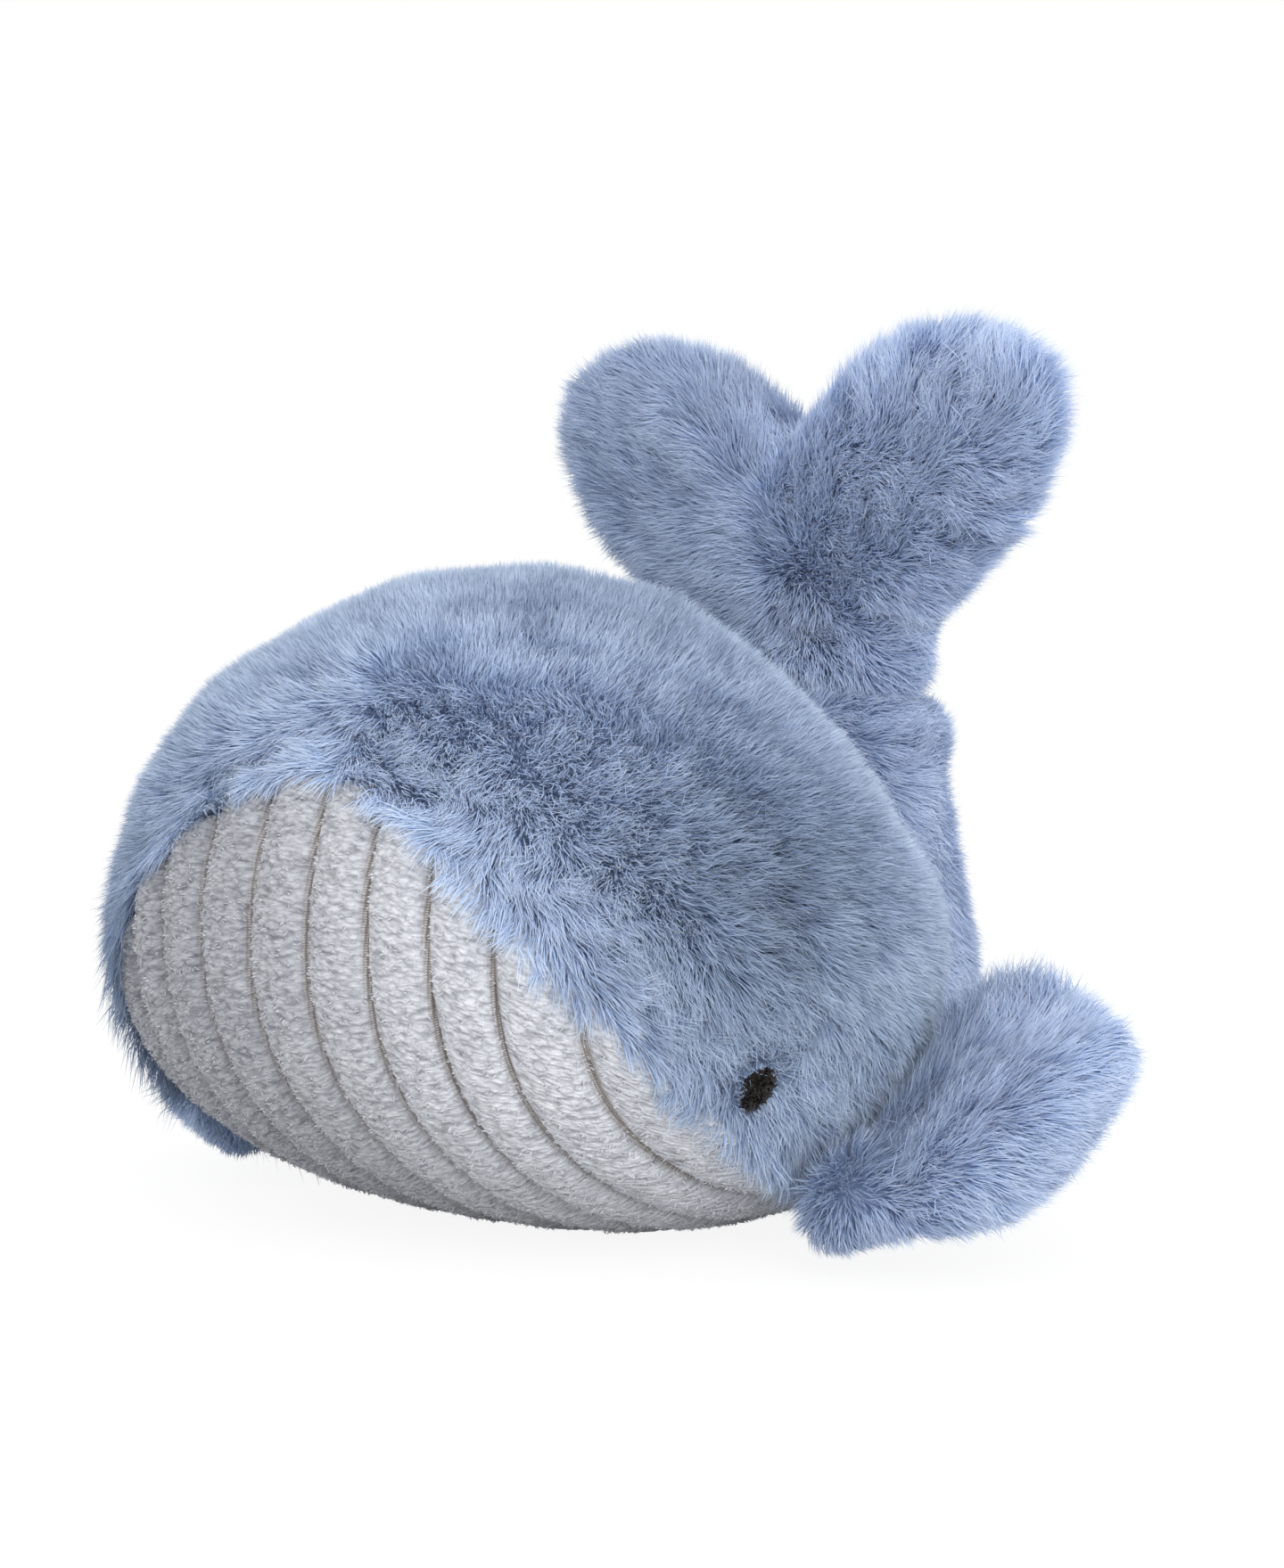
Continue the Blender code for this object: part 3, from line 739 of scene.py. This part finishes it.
def back_flow(points, normals):
    """Down to the mouth line in front, back over the top, out from the eyes."""
    side = np.clip(np.abs(normals[:, 0]) * 1.3, 0, 1)[:, None]
    away, fall = unit(points - WHORL), np.array((0.0, 0.15, -1.0))
    flow = away * (1.0 - 0.45 * side) + fall * (0.25 + 0.75 * side)
    flow = laid_on(flow, normals)
    step = 0.0005
    here = above_seam(points)
    slope = np.stack([above_seam(points + way * step) - here for way in np.eye(3)], 1)
    to_seam = -laid_on(slope, normals)
    near = 0.75 * along_mouth(points, 0.009)[:, None]
    flow = unit(flow * (1 - near) + to_seam * near)
    flow = wavy(flow, points, normals, (0.70, 0.022, 5), (0.60, 0.008, 6))
    for eye in EYES:
        close = spot_at(points, eye[0], 0.015)[:, None]
        flow = flow * (1 - close) + unit(points - eye[0]) * close
    return flow


def back_length(points):
    top = step_up(points[:, 2], 0.085, 0.05)
    length = 0.0102 - 0.0026 * top + 0.0006 * ripple(points, 0.03, 8)
    far = step_down(points[:, 0], -0.045, 0.03) * step_down(points[:, 2], 0.095, 0.03)
    length = length + (0.0016 + 0.0040 * far) * along_mouth(points, 0.008) + 0.0030 * far
    for eye in EYES:
        length = length * (1 - 0.42 * spot_at(points, eye[0], 0.010, 4))
    return length


def tail_flow(points, normals):
    """Out to both sides from the middle, up towards the flukes at the top."""
    rise = step_up(points[:, 2], 0.095, 0.025)
    outward = np.tanh(points[:, 0] / 0.008)
    flow = np.stack([outward, np.full(len(points), 0.1), -0.30 + 1.0 * rise], 1)
    return wavy(unit(flow), points, normals, (0.50, 0.028, 11), (0.35, 0.010, 14))


def tail_length(points):
    height = points[:, 2]
    upper, top = step_up(height, 0.090, 0.02), step_up(height, 0.108, 0.012)
    return LONG_PILE - 0.0020 * upper - 0.0032 * top


def fluke_flow(points, normals):
    """Out to every side from the middle of the flukes, parted at the notch."""
    across, height, level = points[:, 0], points[:, 2], np.zeros(len(points))
    rise = np.clip((height - FLUKE_MIDDLE) * 24.0, -0.9, 0.9)
    flow = np.stack([np.tanh(across / 0.016), level, rise], 1)
    parting = (band_at(across, 0.0, 0.008) * step_up(height, FLUKE_NOTCH, 0.012))[:, None]
    parted = np.stack([np.tanh(across / 0.003), level, level + 0.6], 1)
    flow = flow * (1 - parting) + parted * parting
    return wavy(unit(flow), points, normals, (0.55, 0.022, 12), (0.4, 0.009, 15))


def fluffed(points):
    """Partly standing, most in the middle from where it is combed out."""
    across, up = points[:, 0], points[:, 2] - FLUKE_MIDDLE
    middle = np.exp(-((across / 0.014) ** 2) - ((up / 0.014) ** 2))
    return 0.18 + 0.60 * middle + 0.24 * step_down(across, 0.0, 0.02)


def fluke_length(points):
    across, height = points[:, 0], points[:, 2]
    parting = band_at(across, 0.0, 0.007) * step_up(height, FLUKE_NOTCH, 0.012)
    neck = band_at(height, 0.136, 0.010)
    crest = step_up(height, 0.182, 0.010) * step_up(across, 0.0, 0.02)
    over_joint = step_down(height, 0.132, 0.01)
    return LONG_PILE * (1 - 0.5 * parting) - 0.0030 * neck + 0.0024 * crest + 0.0024 * over_joint


def root_top(points):
    """1 at the upper end of a flipper's root."""
    return spot_at(points, (0.098, 0.006, 0.054), 0.016)


def root_front(points):
    """1 at the lower front end of a flipper's root, fading to 0 over a few centimetres."""
    return spot_at(points, (0.070, -0.049, 0.012), 0.013, 3)


def flipper_flow(points, normals):
    """Fanned out from the root, under the cheek at its lower front end."""
    from_middle = points @ FLIPPER_OUT - FAN_OUT
    flow = np.tanh(from_middle / 0.008)[:, None] * FLIPPER_OUT
    middle = FAN_HEIGHT + 0.30 * from_middle
    flow[:, 2] = np.clip((points[:, 2] - middle) * 34.0, -0.55, 1.1)
    top = root_top(points)[:, None]
    flow = flow * (1 - top) + (np.array((0.0, 0.0, 1.0)) - 0.40 * FLIPPER_OUT) * top
    front = root_front(points)[:, None]
    flow = flow * (1 - front) + np.array((-0.74, -0.58, -0.30)) * front
    return wavy(unit(flow), points, normals, (0.35, 0.024, 13), (0.35, 0.009, 16))


def flipper_length(points):
    tip = step_up(points[:, 0], 0.108, 0.02)
    below = step_down(points[:, 2], 0.018, 0.006)
    top = root_top(points)
    upper = step_up(points[:, 2], 0.046, 0.012) * (1 - top)
    length = (0.0104 - 0.0004 * tip - 0.0034 * upper) * (1 - 0.45 * below)
    return length + 0.0075 * root_front(points) + 0.0062 * top


def brow_of(points):
    """1 in the middle of the brow, above the mouth's left half."""
    return spot_at(points, (0.034, -0.095, 0.108), 0.042)


def fan_middle(points):
    """Standing a little where the flipper's pile fans out from under the cheek."""
    out, up = points @ FLIPPER_OUT - FAN_OUT, points[:, 2] - FAN_HEIGHT
    return 0.5 * np.exp(-((out / 0.012) ** 2) - ((up / 0.012) ** 2))


def back_upright(points):
    """1 where the back's pile stands up like velvet, 0 where it is combed over."""
    over_mouth = step_up(fur_line(points), 0.012, 0.020) * (1 - 0.50 * brow_of(points))
    return over_mouth * step_up(points[:, 2], 0.052, 0.03) * step_up(points[:, 0], -0.075, 0.03)


def back_shade(points):
    """Painted light and shade in the pile's tone: a little lighter over the brow, darker on the
    top, the flanks and along the mouth on the whale's right side, with painted shade in the crease
    at the flipper's root.
    """
    side = np.stack([np.abs(points[:, 0]), points[:, 1], points[:, 2]], 1)
    flank = spot_at(side, (0.088, -0.064, 0.079), 0.026)
    crease = spot_at(side, root_line(side), 0.009)
    rim = step_down(points[:, 0], -0.03, 0.02) * along_mouth(points, 0.02)
    top = step_up(points[:, 2], 0.122, 0.015) * step_up(points[:, 0], -0.005, 0.025)
    shade = 0.02 + 0.74 * brow_of(points) - 0.22 * top - 0.42 * flank - 0.16 * crease - 0.78 * rim
    return shade + 0.07 * ripple(points, 0.014, 9)


def root_line(points):
    """The nearest place to each point on the line where the left flipper is sewn on."""
    middle, along = np.array((0.0946, -0.0116, 0.0324)), np.array((0.1905, 0.7536, 0.6291))
    return middle + np.clip((points - middle) @ along, -0.034, 0.034)[:, None] * along


def flipper_shade(points):
    """Painted shade in the crease at the root; painted light on the upper half and along the lower
    edge.
    """
    crease = spot_at(points, root_line(points), 0.010)
    upper, lower = step_up(points[:, 2], 0.030, 0.02), step_down(points[:, 2], 0.018, 0.008)
    return 0.18 + 0.20 * upper - 0.58 * crease + 0.16 * lower + 0.05 * ripple(points, 0.016, 17)


def tail_shade(points):
    """Painted shade in the crease against the back and at the neck, on a tone painted a little
    lighter overall.
    """
    crease = np.exp(-np.maximum(egg_size(points) - 1, 0) / 0.14)
    return 0.26 - 0.46 * crease - 0.08 * band_at(points[:, 2], 0.120, 0.010)


def fluke_shade(points):
    """Painted shade low in the middle, where the lobes meet the neck; painted light on the lobe on
    the whale's left, and the other lobe painted a little darker.
    """
    low = np.exp(-((points[:, 0] / 0.03) ** 2) - (((points[:, 2] - 0.138) / 0.018) ** 2))
    shade = -0.10 * low - 0.12 + 0.56 * step_up(points[:, 0], -0.02, 0.04)
    return shade + 0.05 * ripple(points, 0.016, 18)


def combed_over(points):
    return np.zeros(len(points))


def fur_piece(
    name, body, roots, normals, flow_of, length_of, material, seed, upright_of, shade_of,
):
    print(name, len(roots), "strands")
    rng = np.random.default_rng(seed)
    upright = upright_of(roots)
    combed = comb(
        roots, normals, flow_of, length_of, upright, shade_of(roots),
        PILE_LEAN_ROOT, PILE_LEAN_TIP, TUFT_SPACING, TUFT_GATHER, PILE_DENSITY, rng,
    )
    piece = pile_mesh(name, *combed, PILE_WIDTH * (1 + 0.35 * upright), material, rng)
    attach(piece, body)
    return piece


# Cord of the belly

def cord_section():
    """The belly's surface as a grid: columns across, rows from the mouth line under and back."""
    half = BODY_WIDTH / 2 - 0.0006
    columns = np.arange(-half, half, CORD_STEP)
    angles = np.radians(np.linspace(-38.0, 152.0, CORD_ROWS))
    x, angle = np.meshgrid(columns, angles, indexing="ij")
    x, angle = x.ravel(), angle.ravel()
    centre = np.array((BODY_SHIFT + 0.012, WAIST_HEIGHT - 0.008))
    low, high = np.zeros(len(x)), np.full(len(x), 0.16)
    for _ in range(26):
        middle = (low + high) / 2
        y, z = centre[0] - np.cos(angle) * middle, centre[1] - np.sin(angle) * middle
        points = np.stack([x, y, z], 1)
        inside = egg_size(points) < 1
        low, high = np.where(inside, middle, low), np.where(inside, high, middle)
    shape = (len(columns), CORD_ROWS)
    return points.reshape(*shape, 3), low.reshape(shape)


def tuft_cells(a, b, seed):
    """Distance to the nearest tuft's middle, in tufts, and a tone for that tuft."""
    cell_a, cell_b = np.floor(a).astype(np.int64), np.floor(b).astype(np.int64)
    best = np.full(a.shape, 9.0)
    tone = np.zeros(a.shape)
    for da in (-1, 0, 1):
        for db in (-1, 0, 1):
            ia, ib = cell_a + da, cell_b + db
            mixed = (ia * 73856093) ^ (ib * 19349663) ^ (seed * 83492791)
            mixed = (mixed * 2654435761) & 0xFFFFFFFF
            first, second, third = (((mixed >> s) & 0x3FF) / 1023.0 for s in (3, 11, 21))
            distance = np.hypot(a - ia - first, b - ib - second)
            closer = distance < best
            best = np.where(closer, distance, best)
            tone = np.where(closer, third, tone)
    return best, tone


def rib_place(points):
    """Which rib each point lies on: whole numbers on the crowns, halves in the grooves."""
    rib = np.sign(points[:, 0]) * np.interp(np.abs(points[:, 0]), RIB_PLACES, RIB_COUNTS)
    return rib + RIB_WANDER * ripple(points, 0.05, 21)


def painted_side_light(across):
    """Painted light: the cord is a little lighter on the whale's left and darker on its right."""
    return np.tanh((across - 0.013) / 0.030)


def make_cord(material):
    grid, radius = cord_section()
    across = np.gradient(grid, axis=0)
    down = np.gradient(grid, axis=1)
    normals = unit(np.cross(down, across))
    flip = (normals * (grid - np.array((0.0, BODY_SHIFT, WAIST_HEIGHT)))).sum(2, keepdims=True) < 0
    normals = np.where(flip, -normals, normals)
    run = np.cumsum(np.linalg.norm(down, axis=2), axis=1)
    spread = np.cumsum(np.linalg.norm(across, axis=2), axis=0)
    rib = rib_place(grid.reshape(-1, 3)).reshape(grid.shape[:2])
    from_crown = np.abs(rib - np.round(rib)) * 2
    crown = np.maximum(1 - np.minimum(from_crown, 1) ** 2.3, 0) ** 0.52
    best, tone = tuft_cells(spread / TUFT_ACROSS, run / TUFT_ALONG, 4)
    tuft = np.clip(1 - best / 0.75, 0, 1) ** 0.6
    height = RIB_CROWN - GROOVE_DEPTH * (1 - crown)
    height = height + TUFT_HEIGHT * (tuft - 0.5) * np.clip(crown * 1.4, 0, 1)
    above_edge = fur_line(grid.reshape(-1, 3)).reshape(rib.shape)
    height = height - TUCK_DEPTH * np.clip((above_edge + 0.004) / 0.0045, 0, 1.2) ** 2
    placed = grid + normals * height[:, :, None]
    placed[:, :, 2] = np.maximum(placed[:, :, 2], FLOOR_GAP)
    rows = grid.shape[1]
    usable = (above_edge < 0.0008) & (radius > 0.004)
    keep = usable[:-1, :-1] & usable[1:, :-1] & usable[:-1, 1:] & usable[1:, 1:]
    i, j = np.where(keep)
    here, beside = i * rows + j, (i + 1) * rows + j
    quads = np.stack([here, beside, beside + 1, here + 1], 1)
    points = placed.reshape(-1, 3)
    middle = quads[len(quads) // 2]
    first, second, _, last = points[middle]
    if np.cross(second - first, last - first) @ normals.reshape(-1, 3)[middle[0]] < 0:
        quads = quads[:, ::-1]
    on_left = points[quads].mean(1)[:, 0] >= 0
    pieces = []
    # Painted light and shade in the cloth's tone: lighter on the whale's left, darker at each
    # tuft's edge, with each tuft's own random tone.
    light = 0.16 * tone + 0.34 * tuft + 0.23 + 0.38 * painted_side_light(grid[:, :, 0])
    for name, mine in (("belly_cord_left", on_left), ("belly_cord_right", ~on_left)):
        used, corners = np.unique(quads[mine], return_inverse=True)
        corners = corners.ravel()
        shade = np.ones((len(used), 4), np.float32)
        shade[:, 0] = crown.ravel()[used]
        shade[:, 1] = np.clip(light, 0, 1).ravel()[used]
        piece = new_piece(name, points[used], corners, 4, shade, material)
        cloth = np.stack([spread.ravel()[used], run.ravel()[used]], 1)[corners]
        piece.data.uv_layers.new(name="cloth_metres").data.foreach_set("uv", cloth.ravel())
        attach(piece, "body")
        pieces.append(piece)
    return pieces


def cord_pile(cord, name, material, seed):
    """Short curly pile on the ribs."""
    rng = np.random.default_rng(seed)
    roots, normals = roots_on(cord, CORD_DENSITY, rng)
    rib = rib_place(roots)
    on_rib = np.abs(rib - np.round(rib)) * 2 < 0.84
    seen = (fur_line(roots) < -0.001) & (roots[:, 2] > 0.002)
    roots, normals = roots[on_rib & seen], normals[on_rib & seen]
    roots = roots - normals * 0.0004

    def flow(points, directions):
        to_side = np.sign(ripple(points, 0.004, 31))
        return np.stack([to_side, np.zeros(len(points)), 0.6 * ripple(points, 0.005, 32)], 1)

    def length(points):
        return np.full(len(points), CORD_PILE_LENGTH)

    # Painted light: the pile's tone is lighter on the whale's left.
    light = 0.13 + 0.33 * painted_side_light(roots[:, 0])
    combed = comb(
        roots, normals, flow, length, combed_over(roots), light,
        0.6, 1.35, CORD_PILE_LENGTH, 0.6, CORD_DENSITY, rng,
    )
    piece = pile_mesh(name, *combed, CORD_PILE_WIDTH, material, rng)
    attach(piece, "body")


# Eyes

def make_eye(name, place, material):
    """A leaf of satin stitches: a low dome covered with close threads laid side by side."""
    middle, long_side, short_side, out = place
    half_long, half_short, dome = EYE_HALF_LONG, EYE_HALF_SHORT, EYE_DOME
    points, faces = [], []

    def leaf(share):
        return half_short * max(0.0, 1 - abs(share) ** 2.3) ** 0.62

    def thread(start, end, lift, thick):
        rings, sides = 9, 6
        base = len(points)
        for ring in range(rings):
            along = ring / (rings - 1)
            flat = start * (1 - along) + end * along
            size = (flat[0] / half_long) ** 2 + (flat[1] / half_short) ** 2
            height = dome * max(0.0, 1 - min(size, 1.0)) ** 0.5 + lift
            taper = thick * (0.45 + 0.55 * math.sin(math.pi * along) ** 0.5)
            line = end - start
            beside = np.array((-line[1], line[0])) / max(np.hypot(*line), 1e-9)
            for side in range(sides):
                turn = 2 * math.pi * side / sides
                spot = flat + beside * math.cos(turn) * taper
                lifted = out * (height + math.sin(turn) * taper)
                points.append(middle + long_side * spot[0] + short_side * spot[1] + lifted)
        for ring in range(rings - 1):
            here, above = base + ring * sides, base + (ring + 1) * sides
            for side in range(sides):
                after = (side + 1) % sides
                faces.append((here + side, here + after, above + after, above + side))
        faces.append(tuple(base + side for side in reversed(range(sides))))
        faces.append(tuple(base + (rings - 1) * sides + side for side in range(sides)))

    slant = 0.30
    rows = 34
    for layer, (lift, reach) in enumerate(((0.0, 1.0), (0.00016, 0.80))):
        for row in range(rows):
            share = -0.985 + 1.97 * (row + 0.5 * layer) / rows
            if abs(share) >= 0.99:
                continue
            wide = leaf(share) * reach * (1 + 0.07 * math.sin(row * 12.9 + layer))
            on_line = np.array((share * half_long, 0.0))
            to_edge = np.array((slant * wide * 0.5, wide))
            start, end = on_line - to_edge, on_line + to_edge
            thread(start, end, lift + 0.00005 * math.sin(row * 2.3), THREAD_RADIUS)
    bpy.ops.object.select_all(action="DESELECT")
    bpy.ops.mesh.primitive_uv_sphere_add(segments=32, ring_count=16, radius=1.0)
    pad = bpy.context.object
    ball = points_of(pad.data)
    leafy = np.array([leaf(value) / half_short for value in ball[:, 0]])
    flat_length = np.maximum(np.sqrt(np.maximum(1 - ball[:, 0] ** 2, 0)), 1e-6)
    breadth = ball[:, 1] / flat_length * leafy * half_short * np.minimum(1, flat_length)
    local = np.stack([ball[:, 0] * half_long, breadth, ball[:, 2] * dome * 0.9], 1)
    placed = middle + local[:, :1] * long_side + local[:, 1:2] * short_side + local[:, 2:] * out
    start = len(points)
    points.extend(placed)
    # The ball's faces come in another order each time, and the threads' roots follow the order.
    pad_faces = sorted(tuple(start + v for v in f.vertices) for f in pad.data.polygons)
    faces.extend(pad_faces)
    bpy.data.objects.remove(pad)
    mesh = bpy.data.meshes.new(name)
    mesh.from_pydata([tuple(p) for p in points], [], faces)
    mesh.update()
    mesh.polygons.foreach_set("use_smooth", np.ones(len(mesh.polygons), bool))
    mesh.materials.append(material)
    eye = bpy.data.objects.new(name, mesh)
    bpy.context.scene.collection.objects.link(eye)
    bpy.ops.object.select_all(action="DESELECT")
    eye.select_set(True)
    bpy.context.view_layer.objects.active = eye
    edit_all(bpy.ops.mesh.normals_make_consistent, inside=False)
    return eye


def rough_threads(eye, name, place, material, seed):
    """Short crossing threads that roughen the patch and its edge."""
    rng = np.random.default_rng(seed)
    roots, normals = roots_on(eye, 4.0e6, rng)
    outside = (roots - place[0]) @ place[3] > 0.0002
    picked = rng.permutation(np.where(outside)[0])[:900]
    roots, normals = roots[picked], unit(normals[picked] * 0.4 + place[3] * 0.6)
    flows = rng.normal(size=roots.shape)
    count = len(roots)
    lengths = rng.uniform(0.0010, 0.0022, count)
    paths = strand_paths(roots, normals, flows, lengths, 1.0, 1.55)
    tone = rng.uniform(0, 1, count)
    piece = pile_mesh(name, paths, normals, tone, ROUGH_THREAD_WIDTH, material, rng)
    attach(piece, "body")


def hairs_over(place, name, material, seed):
    """A few hairs of the fur that fall over the edge of the patch."""
    rng = np.random.default_rng(seed)
    middle, long_side, short_side, out = place
    count = 260
    angle = rng.uniform(0, 2 * math.pi, count)
    angle = np.where(rng.random(count) < 0.5, rng.normal(2.4, 0.8, count), angle)
    spots = long_side * (np.cos(angle) * 0.0058)[:, None]
    spots = spots + short_side * (np.sin(angle) * 0.0042)[:, None]
    roots = middle + spots - out * 0.0012
    normals = np.repeat(out[None, :], count, 0)
    flows = -spots / 0.005 + rng.normal(size=spots.shape) * 0.7
    lengths = rng.uniform(0.0018, 0.0046, count)
    paths = strand_paths(roots, normals, flows, lengths, 0.35, 1.35)
    tone = rng.uniform(0.4, 0.9, count)
    piece = pile_mesh(name, paths, normals, tone, EYE_HAIR_WIDTH, material, rng)
    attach(piece, "body")


# Making the whale

add_camera()
add_studio()

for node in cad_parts.values():
    node.select_set(False)

EYES = [eye_place("eye_left"), eye_place("eye_right")]

back_pile = pile_material("blue_grey_pile", (128, 149, 188), (160, 179, 209), (202, 215, 231))
# A paler, slightly bluer copy of the blue pile: painted light on the tail, flukes and flippers.
pile_with_painted_light = pile_material("pile_with_painted_light", (133, 156, 198), (168, 188, 220), (211, 222, 239))
backing = backing_material("blue_fur_backing", linear(132, 152, 188))
cord_backing = cord_material()
cord_tufts = cord_pile_material()
satin = thread_material()

body_skin = sew_skin(
    "body_skin", ["back_panel_left", "back_panel_right", "belly_panel", "body_filling"],
    backing,
)
tail_skin = sew_skin(
    "tail_skin", ["tail_panel_left", "tail_panel_right", "tail_filling"],
    backing, away_from_neck,
)
fluke_skin = sew_skin(
    "fluke_skin", ["fluke_panel_front", "fluke_panel_back", "fluke_filling"],
    backing, away_from_neck,
)
left_flipper_skin = sew_skin(
    "flipper_left_skin", ["flipper_left_upper", "flipper_left_lower", "flipper_left_filling"],
    backing, away_from_root_front,
)
right_flipper_skin = mirrored(left_flipper_skin, "flipper_right_skin")

for skin, body in (
    (body_skin, "body"), (tail_skin, "tail"), (fluke_skin, "flukes"),
    (left_flipper_skin, "flipper_left"), (right_flipper_skin, "flipper_right"),
):
    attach(skin, body)

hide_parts("back_panel_left", "back_panel_right", "body_filling", "pellet_pouch")
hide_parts("tail_panel_left", "tail_panel_right", "tail_filling")
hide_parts("fluke_panel_front", "fluke_panel_back", "fluke_filling")
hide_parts("flipper_left_upper", "flipper_left_lower", "flipper_left_filling")
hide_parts("flipper_right_upper", "flipper_right_lower", "flipper_right_filling")

left_cord, right_cord = make_cord(cord_backing)
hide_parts("belly_panel")
cord_pile(left_cord, "belly_cord_pile_left", cord_tufts, 51)
cord_pile(right_cord, "belly_cord_pile_right", cord_tufts, 52)

for side, place in (("left", EYES[0]), ("right", EYES[1])):
    eye = make_eye("stitched_eye_" + side, place, satin)
    rough_threads(eye, "eye_threads_" + side, place, satin, 60)
    hairs_over(place, "hairs_over_eye_" + side, back_pile, 61)
    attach(eye, "body")
    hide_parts("eye_" + side)

scatter = np.random.default_rng(70)
roots, normals = roots_on(body_skin, PILE_DENSITY, scatter)
outer = roots + normals * SKIN_INSET
keep = fur_line(outer) > -0.0008
for eye in EYES:
    apart = roots - eye[0]
    size = (apart @ eye[1] / 0.0038) ** 2 + (apart @ eye[2] / 0.0024) ** 2
    keep &= (size > 1) | (apart @ eye[3] < -0.02)
roots, normals, outer = roots[keep], normals[keep], outer[keep]
neighbours = [tail_skin, left_flipper_skin, right_flipper_skin]
free = clear_of(roots + normals * ROOT_LIFT, neighbours, FUR_CLEARANCE)
roots, normals, outer = roots[free], normals[free], outer[free]
roots = roots + normals * (0.0048 * along_mouth(outer, 0.005))[:, None]
left, front = roots[:, 0] >= 0, roots[:, 1] < np.median(roots[:, 1])
cuts = (
    ("back_fur_left_front", left & front), ("back_fur_right_front", ~left & front),
    ("back_fur_left_rear", left & ~front), ("back_fur_right_rear", ~left & ~front),
)
for seed, (name, mine) in enumerate(cuts):
    fur_piece(
        name, "body", roots[mine], normals[mine], back_flow, back_length, back_pile, 80 + seed,
        back_upright, back_shade,
    )

for word, body, skin, others, flow_of, length_of, upright_of, shade_of, first_seed in (
    (
        "tail_fur_", "tail", tail_skin, [body_skin, fluke_skin],
        tail_flow, tail_length, combed_over, tail_shade, 90,
    ), (
        "fluke_fur_", "flukes", fluke_skin, [tail_skin],
        fluke_flow, fluke_length, fluffed, fluke_shade, 94,
    ),
):
    roots, normals = roots_on(skin, PILE_DENSITY, scatter)
    free = clear_of(roots + normals * ROOT_LIFT, others, FUR_CLEARANCE)
    roots, normals = roots[free], normals[free]
    left = roots[:, 0] >= 0
    for seed, (side, mine) in enumerate((("left", left), ("right", ~left))):
        fur_piece(
            word + side, body, roots[mine], normals[mine], flow_of, length_of, pile_with_painted_light,
            first_seed + seed, upright_of, shade_of,
        )

roots, normals = roots_on(left_flipper_skin, PILE_DENSITY, scatter)
free = clear_of(roots + normals * ROOT_LIFT, [body_skin], FLIPPER_CLEARANCE)
roots, normals = roots[free], normals[free]
fur_piece(
    "flipper_fur_left", "flipper_left", roots, normals, flipper_flow, flipper_length,
    pile_with_painted_light, 98, fan_middle, flipper_shade,
)
shorter = fur_piece(
    "flipper_fur_short", "flipper_left", roots, normals, flipper_flow,
    lambda points: 0.75 * flipper_length(points), pile_with_painted_light, 99, fan_middle, flipper_shade,
)
right_fur = mirrored(shorter, "flipper_fur_right")
bpy.data.objects.remove(shorter)
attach(right_fur, "flipper_right")

bpy.context.scene.view_settings.view_transform = "Standard"
